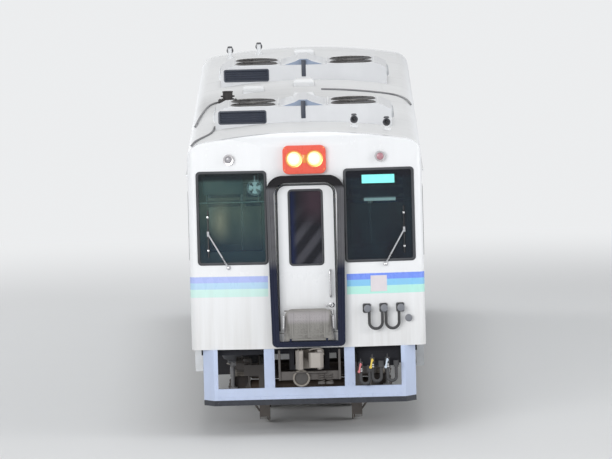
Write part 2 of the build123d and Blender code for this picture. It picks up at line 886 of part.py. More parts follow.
def lamp_lenses():
    """Two sealed headlamps with domed faces."""
    front = -half_length - lamp_box_depth
    lens = Rot(90, 0, 0) * domed_disc(lamp_radius - seam, lens_edge, lens_rise)
    lenses = Part()
    for side in (-1, 1):
        lenses += Pos(side * lamp_offset, front + lamp_recess - seam, lamp_height) * lens
    return lenses


def tail_lamps():
    """A round tail lamp above each windscreen."""
    u = along_facet(tail_lamp_offset)
    body = facet * (Pos(u, tail_lamp_height) * extrude(Circle(tail_lamp_radius), tail_lamp_depth))
    return both_sides(body)


def wipers():
    """A wiper at the foot of each windscreen: boss, arm and blade in one piece."""
    u0, u1 = along_facet(wiper_pivot_offset), along_facet(wiper_tip_offset)
    run, rise = u1 - u0, wiper_tip_height - wiper_pivot_height
    length = hypot(run, rise)
    lean = degrees(atan2(run, rise))
    boss = Pos(u0, wiper_pivot_height) * extrude(Circle(wiper_boss_radius), wiper_boss_height)
    turn = Pos(u0, wiper_pivot_height, wiper_arm_height) * Rot(0, 0, -lean)
    arm = turn * Pos(0, length / 2) * Box(wiper_arm_width, length, wiper_arm_thickness)
    tip = Pos(u1, wiper_tip_height, wiper_clip_height) * Box(*wiper_clip)
    blade_depth = windscreen_recess + wiper_clip_height - seam
    blade = Pos(u1, wiper_tip_height, blade_depth / 2 - windscreen_recess + seam) * Box(
        wiper_blade_width, wiper_blade_length, blade_depth
    )
    return both_sides(facet * (boss + arm + tip + blade))


def jumper_cables():
    """Three sockets on the end wall, the two cables that hang between them, and a spare socket."""
    u = [along_facet(x) for x in jumper_offsets]
    standoff = jumper_standoff
    made = Part()
    for place in u:
        made += Pos(place, jumper_height) * extrude(RectangleRounded(*jumper_plate), jumper_plate_thickness)
        made += Pos(place, jumper_height) * extrude(Circle(jumper_socket_radius), standoff + jumper_cap_reach)
    for u0, u1 in zip(u[:-1], u[1:]):
        a, b = u0 + jumper_cable_inset, u1 - jumper_cable_inset
        high, low = jumper_height, jumper_height - jumper_sag
        points = [(a, high, standoff), (a, low, standoff), (b, low, standoff), (b, high, standoff)]
        made += tube_along(points, (b - a) / 2 * loop_share, jumper_cable_radius)
    spare = extrude(Circle(spare_socket_radius), spare_socket_depth)
    return facet * (made + Pos(along_facet(spare_socket_offset), spare_socket_height) * spare)


def air_hoses():
    """Brake and air pipes through the skirt, each with a cock, a hanging hose and its coupling head."""
    made = Part()
    y0 = -headstock_front
    front = -half_length - hose_standoff
    for offset, cock_height, depth in hoses:
        z = up(cock_height)
        made += rod((offset, y0, z), (offset, front + hose_pipe_end, z), hose_pipe_radius)
        made += block(
            offset - cock_half_width, offset + cock_half_width, front - cock_front, front + cock_back,
            z - cock_half_height, z + cock_half_height,
        )
        made += block(
            offset - cock_lever_half_width, offset + cock_lever_half_width, front - cock_lever_front,
            front - cock_lever_back, z - cock_lever_drop, z + cock_lever_rise,
        )
        end = offset + 2 * hose_loop_half
        low = z - depth
        tail = z - hose_end_drop
        points = [(offset, front, z), (offset, front, low), (end, front, low), (end, front, tail)]
        made += tube_along(points, hose_loop_half * loop_share, hose_radius)
        made += block(
            end - hose_head_half_width, end + hose_head_half_width, front - hose_head_half_depth,
            front + hose_head_half_depth, z - hose_head_bottom, z - hose_head_top,
        )
        stay_z = z - hose_stay_drop
        made += rod((end, front + hose_stay_start, stay_z), (end, y0, stay_z), hose_stay_radius)
    return made


def skirt():
    """The obstacle guard below the end wall: a bar on two struts, posts, corner plates and a rubber strip."""
    y = -half_length + skirt_setback
    t = skirt_thickness
    low = skirt_bottom + skirt_bar_height
    bend = skirt_half - skirt_post_width
    corner = bend - t
    seat_y = bearer_places()[0] - cross_bearer_width / 2
    foot_y = seat_y - strut_foot_thickness
    foot_z = underframe_bottom + strut_foot_rise
    bar_z = low - strut_bar_drop
    slope = atan2(foot_z - bar_z, foot_y - y - t)
    room = strut_radius * sin(slope) + seam
    x = skirt_inner_post_centre
    bar = block(-corner, corner, y, y + t, skirt_bottom, low)
    strut = rod((x, y + t + room, bar_z), (x, foot_y - room, foot_z), strut_radius)
    strut += block(
        x - 2 * strut_radius, x + 2 * strut_radius, foot_y, seat_y,
        foot_z - strut_foot_below, foot_z + strut_foot_above,
    )
    bar += both_sides(strut)
    half = skirt_post_width / 2
    post = block(x - half, x + half, y, y + t, low + seam, sill_bottom)
    sides = post + skirt_corner(corner + seam, t, skirt_bottom, sill_bottom)
    rubber_top = skirt_bottom - seam
    sides += skirt_corner(corner + seam, rubber_thickness, skirt_bottom - rubber_drop, rubber_top)
    rubber = block(-corner, corner, y, y + rubber_thickness, skirt_bottom - rubber_drop, rubber_top)
    return bar + both_sides(sides) + rubber


def skirt_corner(start, thickness, bottom, top):
    """A corner plate of the guard, which bends back from the front on the right side."""
    y = -half_length + skirt_setback
    bend = skirt_half - skirt_post_width
    slope = hypot(skirt_post_width, skirt_return)
    inward = (-thickness * skirt_return / slope, thickness * skirt_post_width / slope)
    plan = [
        (start, y),
        (bend, y),
        (skirt_half, y + skirt_return),
        (skirt_half + inward[0], y + skirt_return + inward[1]),
        (start, y + thickness),
    ]
    return extrude(Pos(0, 0, bottom) * make_face(Polyline(*plan, close=True)), top - bottom)


def coupler():
    """An automatic coupler: eye, shank and head with its guard arm and knuckle."""
    pivot_y = -coupler_pivot
    face_y = -coupler_reach
    z = coupler_height
    head_back = face_y + coupler_head_length
    bar = rod((0, pivot_y, z - shank_half), (0, pivot_y, z + shank_half), coupler_eye_radius)
    bar += block(
        -shank_half, shank_half, head_back - coupler_shank_lap, pivot_y, z - shank_half, z + shank_half
    )
    bore_z0, bore_z1 = z - 2 * shank_half, z + 2 * shank_half
    bar -= rod((0, pivot_y, bore_z0), (0, pivot_y, bore_z1), coupler_pin_radius + coupler_pin_gap)
    h = coupler_head_half
    guard = [(-h + inward, face_y + back) for inward, back in coupler_guard_points]
    throat = [(h - inward, face_y + back) for inward, back in coupler_throat_points]
    left = [(-shank_half, head_back), (-h, head_back - coupler_heel)]
    right = [(h, head_back - coupler_shoulder), (shank_half, head_back)]
    arm = make_face(Polyline(*left, *guard, *throat, *right, close=True))
    half_height = coupler_head_height / 2
    head = extrude(Pos(0, 0, z - half_height) * arm, coupler_head_height)
    points = [(h - inward, face_y + back) for inward, back in coupler_knuckle_points]
    knuckle = make_face(Polyline(*points, close=True))
    nose = fillet(knuckle.vertices(), coupler_nose_radius)
    knuckle_half = half_height - coupler_knuckle_inset
    head += extrude(Pos(0, 0, z - knuckle_half) * nose, 2 * knuckle_half)
    pin_x, pin_y = h - knuckle_pin_inset, face_y + coupler_jaw_depth
    pin_half = half_height + coupler_boss_height
    head += rod((pin_x, pin_y, z - pin_half), (pin_x, pin_y, z + pin_half), knuckle_pin_radius)
    lock_y = face_y + lock_boss_setback
    head += rod((0, lock_y, z), (0, lock_y, z + pin_half), lock_boss_radius)
    return bar + head


def underframe():
    """Sills, centre beams, cross bearers, bolsters with their pins, headstocks and draft boxes."""
    sill_x1 = half_width - side_wall_thickness - seam
    sill_x0 = sill_x1 - sill_beam_width
    end = half_length - end_cap_depth
    frame = both_sides(block(sill_x0, sill_x1, -end, end, underframe_bottom, underframe_top))
    frame += centre_beams()
    for y in bearer_places():
        frame += cross_bearer(y, sill_x0)
    for side in (-1, 1):
        y = side * bogie_offset
        half = bolster_length / 2
        wide = sill_x0 - seam
        frame += block(-wide, wide, y - half, y + half, bolster_bottom, underframe_top)
        pin_bottom = cross_tube_height - hub_radius / 2
        frame += rod((0, y, pin_bottom), (0, y, bolster_bottom - seam), centre_pin_radius)
    frame += both_ends(draft_box() + headstock())
    pad_x = (sill_x0 + sill_x1) / 2
    pad = block(
        pad_x - jack_pad_half_width, pad_x + jack_pad_half_width, -jack_pad_length / 2, jack_pad_length / 2,
        underframe_bottom - jack_pad_thickness, underframe_bottom - seam,
    )
    for y in (-jack_pad_station, jack_pad_station):
        frame += both_sides(Pos(0, y, 0) * pad)
    return frame


def centre_beams():
    """Two beams along the middle, in lengths between the draft boxes and the bolsters."""
    x0, x1 = centre_beam_offset - centre_beam_width / 2, centre_beam_offset + centre_beam_width / 2
    half = bolster_length / 2 + seam
    outer = (-draft_box_back + seam, -bogie_offset - half)
    beams = Part()
    for y0, y1 in (outer, (-bogie_offset + half, bogie_offset - half), (-outer[1], -outer[0])):
        beams += block(x0, x1, y0, y1, underframe_bottom, underframe_top)
    return both_sides(beams)


def cross_bearer(y, sill_x0):
    """One cross bearer in three lengths, between the sills and the centre beams."""
    half = cross_bearer_width / 2
    inner = centre_beam_offset - centre_beam_width / 2 - seam
    outer = centre_beam_offset + centre_beam_width / 2 + seam
    middle = block(-inner, inner, y - half, y + half, underframe_bottom, underframe_top)
    side = block(outer, sill_x0 - seam, y - half, y + half, underframe_bottom, underframe_top)
    return middle + both_sides(side)


def bearer_places():
    """Y of every cross bearer, spaced from the middle of the car and clear of the bolsters."""
    count = int((draft_box_back - cross_bearer_width) / cross_bearer_pitch)
    places = [i * cross_bearer_pitch for i in range(-count, count + 1)]
    room = (bolster_length + cross_bearer_width) / 2 + 2 * seam
    return [y for y in places if abs(abs(y) - bogie_offset) > room]


def headstock():
    """The cross beam beside the draft box at one end, with the plate that carries the hose cocks."""
    x0 = centre_beam_offset + seam
    y = -headstock_front
    beam = block(x0, headstock_half, y, y + headstock_depth, underframe_bottom, underframe_top)
    hose_x0 = hoses[0][0] - hose_plate_margin
    hose_x1 = hoses[-1][0] + 2 * hose_loop_half + hose_plate_margin
    plate_top = underframe_bottom - seam
    plate = block(hose_x0, hose_x1, y, y + hose_plate_thickness, hose_plate_bottom, plate_top)
    return both_sides(beam) + plate


def draft_box():
    """The box at one end of the underframe, welded from plates round the coupler's shank and pivot pin."""
    y0, y1 = -draft_box_front, -draft_box_back
    half = centre_beam_offset
    low, high = coupler_height - draft_slot_half_height, coupler_height + draft_slot_half_height
    inner_back = y1 - draft_back_wall
    eye_room = coupler_eye_radius + draft_side_room
    mouth = eye_room + (draft_box_front - coupler_pivot) * tan(radians(coupler_swing))
    box = block(-half, half, y0, y1, high, underframe_top) + block(-half, half, y0, y1, draft_box_bottom, low)
    corners = [(mouth, y0), (half, y0), (half, inner_back), (eye_room, inner_back)]
    plan = make_face(Polyline(*corners, close=True))
    box += both_sides(extrude(Pos(0, 0, low + seam) * plan, high - low - 2 * seam))
    box += block(-half, half, inner_back + seam, y1, low + seam, high - seam)
    box += rod((0, -coupler_pivot, low + seam), (0, -coupler_pivot, high - seam), coupler_pin_radius)
    wear = shank_half + seam
    for z0, z1 in ((low + seam, coupler_height - wear), (coupler_height + wear, high - seam)):
        disc = rod((0, -coupler_pivot, z0), (0, -coupler_pivot, z1), coupler_pin_radius + wear_ring_width)
        box += disc - rod((0, -coupler_pivot, z0), (0, -coupler_pivot, z1), coupler_pin_radius + seam)
    return box


def wheelset():
    """An axle with both wheels, turned in one profile, at the car's centre."""
    r = wheel_diameter / 2
    tip = r + flange_height
    inner = wheel_back_to_back / 2
    outer = inner + wheel_width
    mid = (inner + outer) / 2
    web = wheel_web_thickness / 2
    rim = r - wheel_rim_depth
    journal_end = journal_centre + journal_length / 2
    journal_start = journal_centre - journal_length / 2
    half = [
        (0, axle_radius),
        (inner - wheel_hub_inner_reach, axle_radius),
        (inner - wheel_hub_inner_reach, wheel_hub_radius),
        (mid - web - web_foot, wheel_hub_radius + web_foot_rise),
        (mid - web + web_lean, (wheel_hub_radius + rim) / 2),
        (mid - web - web_head, rim),
        (inner, rim),
        (inner, tip - flange_inner_bevel),
        (inner + flange_inner_bevel, tip),
        (inner + flange_thickness - flange_outer_bevel, tip - flange_outer_bevel),
        (inner + flange_thickness + flange_root, r + flange_root_rise),
        (outer - tread_bevel, r - tread_fall),
        (outer, r - tread_fall - tread_bevel),
        (outer, rim),
        (mid + web + web_head, rim - web_head_fall),
        (mid + web + web_lean, (wheel_hub_radius + rim) / 2),
        (mid + web + web_foot, wheel_hub_radius + web_foot_rise),
        (outer - wheel_hub_outer_setback, wheel_hub_radius),
        (outer - wheel_hub_outer_setback, axle_radius),
        (journal_start - axle_step, axle_radius),
        (journal_start, journal_radius),
        (journal_end, journal_radius),
        (journal_end, 0),
    ]
    left = [(-x, z) for x, z in reversed(half)]
    outline = left + half[1:]
    profile = make_face(Polyline(*outline, close=True))
    return Pos(0, 0, tip) * revolve(Plane.XZ * profile, Axis.X)


def axle_places():
    return [side * bogie_wheelbase / 2 for side in (-1, 1)]


def bogie_frame(outer):
    """Two cranked side beams, cross tubes, centre hub, brake units and, at its outer end, life guards."""
    x0 = journal_centre - side_beam_width / 2
    d = side_beam_depth
    e, m = side_beam_end_bottom, side_beam_mid_bottom
    f, b, end = side_beam_flat_half, side_beam_bend, side_beam_half_length
    nose, shoulder = end - side_beam_nose_length, end - side_beam_top_length
    nose_z, shoulder_z = e + side_beam_nose_rise, e + d - side_beam_top_fall
    low = [(f, m), (b, e), (nose, e), (end, nose_z)]
    high = [(end, shoulder_z), (shoulder, e + d), (b, e + d), (f, m + d)]
    right = low + high
    left = [(-y, z) for y, z in reversed(right)]
    face = make_face(Polyline(*right, *left, close=True))
    beam = Pos(x0, 0, 0) * extrude(Plane.YZ * face, side_beam_width)
    frame = both_sides(beam)
    reach = journal_centre
    for side in (-1, 1):
        y = side * cross_tube_offset
        frame += rod((-reach, y, cross_tube_height), (reach, y, cross_tube_height), cross_tube_radius)
    hub_half = cross_tube_radius + hub_proud
    hub = block(
        -hub_block_half_width, hub_block_half_width, -cross_tube_offset, cross_tube_offset,
        cross_tube_height - hub_block_half_height, cross_tube_height + hub_block_half_height,
    )
    hub += rod((0, 0, cross_tube_height - hub_half), (0, 0, cross_tube_height + hub_half), hub_radius)
    bore_reach = 2 * hub_half
    bore_z0, bore_z1 = cross_tube_height - bore_reach, cross_tube_height + bore_reach
    bore = rod((0, 0, bore_z0), (0, 0, bore_z1), centre_pin_radius + centre_pin_gap)
    frame += hub
    frame -= bore
    for ys in (-1, 1):
        for xs in (-1, 1):
            frame += brake_unit(xs, ys)
    return frame + both_sides(life_guard(outer))


def life_guard(outer):
    """The plate that hangs before the outermost right wheel from the end of the side beam."""
    start = bogie_wheelbase / 2 + wheel_diameter / 2 + flange_height + life_guard_gap
    y0, y1 = outer * start, outer * (start + life_guard_thickness)
    beam_x = journal_centre - side_beam_width / 2
    wheel_x0 = wheel_back_to_back / 2
    arm_x1 = beam_x + life_guard_arm_width
    arm_y0 = outer * (side_beam_half_length - life_guard_lap)
    z0 = side_beam_end_bottom + life_guard_arm_rise
    z1 = side_beam_end_bottom + side_beam_depth - life_guard_arm_fall
    guard = block(beam_x, arm_x1, arm_y0, y1, z0, z1)
    guard += block(wheel_x0, arm_x1, y0, y1, z0 - life_guard_cross_drop, z1)
    plate_top = z0 - life_guard_plate_drop
    guard += block(wheel_x0, wheel_x0 + wheel_width, y0, y1, life_guard_bottom, plate_top)
    return guard


def brake_unit(xs, ys):
    """A tread brake: an arm from the cross tube with its cylinder, and a shoe just off the wheel."""
    tread = wheel_diameter / 2
    axle_y = ys * bogie_wheelbase / 2
    x = xs * (wheel_back_to_back / 2 + wheel_width / 2 + brake_offset)
    z = up(wheel_diameter / 2)
    inner_y = ys * (cross_tube_offset + cross_tube_radius - brake_root)
    shoe_y = axle_y - ys * (tread + brake_shoe_gap)
    unit = block(
        x - brake_arm_half_width, x + brake_arm_half_width, inner_y, shoe_y - ys * brake_arm_end,
        cross_tube_height - brake_arm_drop, cross_tube_height + brake_arm_rise,
    )
    rod_z = cross_tube_height + brake_cylinder_rise
    unit += rod((x, inner_y, rod_z), (x, shoe_y - ys * brake_cylinder_end, rod_z), brake_cylinder_radius)
    shoe_x0 = wheel_back_to_back / 2 + flange_thickness + brake_shoe_inner
    shoe_x1 = wheel_back_to_back / 2 + wheel_width - brake_shoe_outer
    shoe = block(
        xs * shoe_x0, xs * shoe_x1,
        shoe_y - ys * brake_shoe_thickness, axle_y - ys * tread * brake_shoe_share,
        z - brake_shoe_drop, z + brake_shoe_rise,
    )
    hole_half = 2 * brake_arm_half_width
    round_hole = rod((x - hole_half, axle_y, z), (x + hole_half, axle_y, z), tread + brake_shoe_gap)
    return unit + (shoe - round_hole)


def axle_boxes():
    """Four bearing boxes round the journals, each with two spring pots up to the side beam."""
    made = Part()
    z = flange_height + wheel_diameter / 2
    journal_end = journal_centre + journal_length / 2
    x0 = journal_centre - journal_length / 2 + axle_box_inset
    x1 = journal_end + axle_box_reach
    z0, z1 = z - axle_box_half_height, z + axle_box_half_height
    for y in axle_places():
        box = block(x0, x1, y - axle_box_half_length, y + axle_box_half_length, z0, z1)
        box += rod((x1 - lap, y, z), (x1 + axle_cap_depth, y, z), axle_cap_radius)
        box -= rod((x0 - lap, y, z), (journal_end + axle_bore_reach, y, z), journal_radius + journal_gap)
        pot_bottom = z1 - lap
        foot, head = (journal_centre, y, pot_bottom), (journal_centre, y, side_beam_end_bottom)
        box += rod(foot, head, spring_pot_radius)
        made += box
    return both_sides(made)


def air_springs():
    """Two rubber bellows from the side beams up to the bolster."""
    base = side_beam_mid_bottom + side_beam_depth
    top = bolster_bottom - air_spring_top_gap
    height = top - base
    points = [(air_spring_radius * across, height * rise) for across, rise in air_spring_outline]
    spring = revolve(Plane.XZ * make_face(Polyline(*points, close=True)), Axis.Z)
    return both_sides(Pos(journal_centre, 0, base) * spring)


def final_drive():
    """The gear case on the inner axle of the driven bogie, with its input flange, at the car's centre."""
    y = -bogie_wheelbase / 2
    z = flange_height + wheel_diameter / 2
    case = rod((-gear_case_half_width, y, z), (gear_case_half_width, y, z), gear_case_radius)
    nose_y = y - gear_nose_length
    case += rod((0, y, z), (0, nose_y, z), gear_nose_radius)
    case += rod((0, nose_y, z), (0, y - gear_flange_reach, z), gear_flange_radius)
    tube_face = -cross_tube_offset - cross_tube_radius - journal_gap
    case += block(
        -torque_arm_half_width, torque_arm_half_width, y + torque_arm_start, tube_face,
        cross_tube_height - torque_arm_half_height, cross_tube_height + torque_arm_half_height,
    )
    bore = gear_bore_half_length
    return case - rod((-bore, y, z), (bore, y, z), axle_radius + journal_gap)


def roof_unit():
    """A low roof cooling unit with a louvred panel at diagonal corners and a ribbed hump, at the centre."""
    half = roof_unit_length / 2
    w = roof_unit_half_width
    top = crown_height + roof_unit_height
    c = roof_unit_chamfer
    low = shoulder_height - roof_unit_root
    flat = w - 2 * c
    face = make_face(
        Polyline((-w, low), (w, low), (w, top - c), (flat, top), (-flat, top), (-w, top - c), close=True)
    )
    unit = extrude(Plane.XZ * face, half, both=True)
    knee, knee_z = hump_rib_half + hump_slope_run, top + hump_height * hump_knee_share
    hump_top = top + hump_height
    right = [(hump_half, top - lap), (knee, knee_z), (hump_rib_half, hump_top)]
    left = [(-x, z) for x, z in reversed(right)]
    hump = make_face(Polyline(*right, *left, close=True))
    unit += extrude(Plane.XZ * hump, half - hump_end_gap, both=True)
    unit -= outer_form
    z0 = top - c - louvre_height
    step = louvre_height / louvre_slats
    for turn in (0, 180):
        recess_y1 = -half + louvre_depth
        recess = block(-louvre_outer, -louvre_inner, -half - lap, recess_y1, z0, z0 + louvre_height)
        unit -= Rot(0, 0, turn) * recess
        for i in range(louvre_slats):
            place = Pos(-(louvre_outer + louvre_inner) / 2, -half + slat_setback, z0 + (i + 0.5) * step)
            slat = Box(louvre_outer - louvre_inner + 2 * slat_end_lap, slat_width, slat_thickness)
            unit += Rot(0, 0, turn) * place * Rot(slat_tilt, 0, 0) * slat
    return unit


def roof_units():
    return Part() + [Pos(0, y, 0) * roof_unit() for y in roof_unit_stations]


def roof_at(x):
    """Z of the arched roof at a distance from the car's centre line, inside its rounded shoulders."""
    rise = crown_height - shoulder_height
    radius = (half_width ** 2 + rise ** 2) / (2 * rise)
    return crown_height - radius + (radius ** 2 - x ** 2) ** 0.5


def roof_ventilators():
    """Small cowls between the cooling units, and two horns near each end."""
    made = Part()
    for x, y in ventilator_places:
        top = roof_at(x) + ventilator_height
        cowl = block(
            x - ventilator_half_width, x + ventilator_half_width, y - ventilator_half_length,
            y + ventilator_half_length, top - ventilator_base_depth, top,
        )
        made += chamfer(cowl.edges().group_by(Axis.Z)[-1], ventilator_height / 3)
    horns = Part()
    y = horn_setback - half_length
    for x in horn_offsets:
        base = roof_at(x)
        horns += rod((x, y, base - roof_overlap), (x, y, base + horn_height), horn_radius)
        horns += rod((x, y, base - roof_overlap), (x, y, base + horn_radius), 2 * horn_radius)
    return (made + both_ends(horns)) - outer_form


def exhaust_stack():
    x, y = stack_offset, stack_station
    pipe = rod((x, y, shoulder_height - roof_overlap), (x, y, stack_top), stack_radius)
    pipe -= rod((x, y, stack_top - stack_bore_depth), (x, y, stack_top + 2 * lap), stack_radius - stack_wall)
    foot_top = roof_at(x) + stack_foot_height
    foot = rod((x, y, shoulder_height - roof_overlap), (x, y, foot_top), stack_radius + stack_foot_width)
    return (pipe + foot) - outer_form


# Gear below the floor: X and Y limits, then bottom and top heights above the rail.
# Along each side the boxes follow one another from the bogies towards the middle of the car.
gear_top = 930.0
gear_inset = 120.0
gear_side = half_width - gear_inset
gear_room = bogie_offset - side_beam_half_length
engine_box = (-640.0, 620.0, -1350.0, 1150.0, 330.0, gear_top)
tank_start = 560.0 - gear_room
tank_length = 1600.0
tank_side = gear_side - 50
fuel_tank_box = (tank_side - 900, tank_side, tank_start, tank_start + tank_length, 400.0, gear_top)
radiator_start = 660.0 - gear_room
radiator_length = 1900.0
radiator_end = radiator_start + radiator_length
radiator_box = (-gear_side, -gear_side + 520, radiator_start, radiator_end, 300.0, gear_top)
battery_length = 1900.0
heater_length = 400.0
switch_length = 900.0
relay_length = 1050.0
dryer_length = 1100.0
switch_start = tank_start + tank_length + 350
relay_start = switch_start + switch_length + 250
battery_start = -radiator_start - radiator_length
heater_start = radiator_end + 450
air_tank_radius = 165.0
air_tank_overhang = 150.0
# The number of the last cross bearer, from the middle, that is clear of the rear bogie
last_bearer = int((gear_room - air_tank_overhang) / cross_bearer_pitch)
# X of each air tank and the number of the cross bearer that carries its first strap
air_tank_inset = 360.0
air_tank_spacing = 480.0
air_tanks = (
    (air_tank_inset - half_width, 0),
    (half_width - air_tank_inset, last_bearer - 1),
    (half_width - air_tank_inset - air_tank_spacing, last_bearer - 1),
)
dryer_end = (last_bearer - 1) * cross_bearer_pitch - air_tank_overhang - 250
equipment_boxes_table = (
    (-gear_side, -gear_side + 500, battery_start, battery_start + battery_length, 420.0, gear_top),
    (-gear_side, -gear_side + 380, heater_start, heater_start + heater_length, 480.0, gear_top),
    (gear_side - 500, gear_side, switch_start, switch_start + switch_length, 450.0, gear_top),
    (gear_side - 460, gear_side, relay_start, relay_start + relay_length, 480.0, gear_top),
    (gear_side - 480, gear_side, dryer_end - dryer_length, dryer_end, 440.0, gear_top),
)
# The engine's block, sump, cylinder heads and hangers: insets from its limits, and heights
engine_body_rise = 130.0
engine_body_fall = 90.0
engine_edge = 60.0
sump_left_inset = 330.0
sump_right_inset = 260.0
sump_end_inset = 160.0
sump_height = 140.0
cylinders = 6
cylinder_end_inset = 150.0
head_share = 0.4
head_reach = 70.0
head_root = 60.0
head_bottom = 190.0
head_top = 410.0
engine_hanger_inset = 240.0
engine_hanger_half = 45.0
engine_hanger_height = 120.0
gearbox_height = up(600)
gearbox_length = 560.0
gearbox_radius = 290.0
gearbox_neck_lap = 20.0
gearbox_neck_radius = 200.0
gearbox_output = 800.0
gearbox_hanger_start = 240.0
gearbox_hanger_end = 360.0
drive_shaft_radius = 52.0
drive_shaft_gap = 18.0
drive_shaft_setback = 30.0
flange_plate_radius = 88.0
flange_plate_thickness = 40.0
# The radiator's open face: its frame, upright bars and cross rails, counted from the face inwards
core_recess = 70.0
core_frame = 70.0
core_frame_bottom = 80.0
core_frame_top = 90.0
core_bars = 9
core_bar_outer = 12.0
core_bar_inner = 30.0
core_rails = 3
core_rail_outer = 18.0
core_rail_inner = 36.0
core_bar_half = 8.0
core_bar_lap = 10.0
tank_top_gap = 60.0
tank_edge = 70.0
tank_strap_inset = 250.0
tank_strap_start = 40.0
tank_strap_half = 35.0
tank_strap_height = 90.0
filler_station = 500.0
filler_inner = 130.0
filler_outer = 60.0
filler_drop = 80.0
filler_mouth_drop = 40.0
filler_radius = 45.0
box_top_gap = 50.0
box_door_pitch = 620.0
box_door_gap = 25.0
box_door_proud = 14.0
box_door_bottom = 30.0
box_door_top = 90.0
box_hanger_end = 60.0
box_hanger_side = 30.0
box_hanger_half = 25.0
box_hanger_height = 60.0
air_tank_drop = 40.0
air_tank_dome = 40.0
air_tank_dome_share = 0.8
air_strap_half = 22.0
air_strap_thickness = 8.0
air_bracket_half = 60.0
air_bracket_root = 20.0


def hung_box(x0, x1, y0, y1, bottom, top):
    return block(x0, x1, y0, y1, up(bottom), up(top))


def engine():
    """The engine lying under the floor: a plain block with its sump, heads and hangers."""
    x0, x1, y0, y1, bottom, top = engine_box
    body = hung_box(x0, x1, y0, y1, bottom + engine_body_rise, top - engine_body_fall)
    body = fillet(body.edges().filter_by(Axis.Y), engine_edge)
    sump_x0, sump_x1 = x0 + sump_left_inset, x1 - sump_right_inset
    sump_y0, sump_y1 = y0 + sump_end_inset, y1 - sump_end_inset
    body += hung_box(sump_x0, sump_x1, sump_y0, sump_y1, bottom, bottom + sump_height)
    pitch = (y1 - y0 - 2 * cylinder_end_inset) / cylinders
    half = pitch * head_share
    for i in range(cylinders):
        y = y0 + cylinder_end_inset + (i + 0.5) * pitch
        z0, z1 = bottom + head_bottom, bottom + head_top
        body += hung_box(x0 - head_reach, x0 + head_root, y - half, y + half, z0, z1)
    half = engine_hanger_half
    for y in (y0 + engine_hanger_inset, y1 - engine_hanger_inset):
        for x in (-centre_beam_offset, centre_beam_offset):
            body += hung_box(x - half, x + half, y - half, y + half, top - engine_hanger_height, top)
    return body


def transmission():
    """The hydraulic gearbox behind the engine, and the shaft to the driven bogie."""
    y0 = engine_box[3]
    z = gearbox_height
    axle_z = flange_height + wheel_diameter / 2
    case_end, output = y0 + gearbox_length, y0 + gearbox_output
    case = rod((0, y0, z), (0, case_end, z), gearbox_radius)
    case += rod((0, case_end - gearbox_neck_lap, z), (0, output, z), gearbox_neck_radius)
    hanger_y0, hanger_y1 = y0 + gearbox_hanger_start, y0 + gearbox_hanger_end
    case += block(-centre_beam_offset, centre_beam_offset, hanger_y0, hanger_y1, z, underframe_bottom)
    start = output + seam
    end = bogie_offset - bogie_wheelbase / 2 - gear_flange_reach - drive_shaft_gap
    plate = flange_plate_thickness
    shaft = rod((0, start, z), (0, start + plate, z), flange_plate_radius)
    shaft += rod((0, start + plate / 2, z), (0, end - drive_shaft_setback, axle_z), drive_shaft_radius)
    shaft += rod((0, end - plate, axle_z), (0, end, axle_z), flange_plate_radius)
    return case + shaft


def radiator():
    """The radiator box at the side, open to its core behind bars, with the fan ring inside."""
    x0, x1, y0, y1, bottom, top = radiator_box
    box = hung_box(x0, x1, y0, y1, bottom, top)
    face_y0, face_y1 = y0 + core_frame, y1 - core_frame
    face_z0, face_z1 = up(bottom + core_frame_bottom), up(top - core_frame_top)
    box -= block(x0 - lap, x0 + core_recess, face_y0, face_y1, face_z0, face_z1)
    half, root = core_bar_half, core_bar_lap
    step = (face_y1 - face_y0) / core_bars
    for i in range(1, core_bars):
        y = face_y0 + i * step
        bar_x0, bar_x1 = x0 + core_bar_outer, x0 + core_bar_inner
        box += block(bar_x0, bar_x1, y - half, y + half, face_z0 - root, face_z1 + root)
    for i in range(core_rails):
        z = face_z0 + (i + 1) * (face_z1 - face_z0) / (core_rails + 1)
        rail_x0, rail_x1 = x0 + core_rail_outer, x0 + core_rail_inner
        box += block(rail_x0, rail_x1, face_y0 - root, face_y1 + root, z - half, z + half)
    return box


def fuel_tank():
    x0, x1, y0, y1, bottom, top = fuel_tank_box
    tank = hung_box(x0, x1, y0, y1, bottom, top - tank_top_gap)
    tank = fillet(tank.edges().filter_by(Axis.Y), tank_edge)
    half = tank_strap_half
    for y in (y0 + tank_strap_inset, y1 - tank_strap_inset):
        tank += hung_box(x0 + tank_strap_start, x1, y - half, y + half, top - tank_strap_height, top)
    foot = (x1 - filler_inner, y0 + filler_station, up(top - filler_drop))
    mouth = (x1 - filler_outer, y0 + filler_station, up(top - filler_mouth_drop))
    return tank + rod(foot, mouth, filler_radius)


def equipment_boxes():
    """Battery and control boxes hung at the sides, each with a lid frame."""
    made = Part()
    for box in equipment_boxes_table:
        x0, x1, y0, y1, bottom, top = box
        body = hung_box(x0, x1, y0, y1, bottom, top - box_top_gap)
        outward = x0 if x0 < 0 else x1
        side = -1 if x0 < 0 else 1
        doors = max(1, round((y1 - y0) / box_door_pitch))
        pitch = (y1 - y0) / doors
        for i in range(doors):
            a, b = y0 + i * pitch + box_door_gap, y0 + (i + 1) * pitch - box_door_gap
            z0, z1 = bottom + box_door_bottom, top - box_door_top
            body += hung_box(outward - side * lap, outward + side * box_door_proud, a, b, z0, z1)
        inner_x0, inner_x1 = x0 + box_hanger_side, x1 - box_hanger_side
        for y in (y0 + box_hanger_end, y1 - box_hanger_end):
            a, b = y - box_hanger_half, y + box_hanger_half
            body += hung_box(inner_x0, inner_x1, a, b, top - box_hanger_height, top)
        made += body
    return made


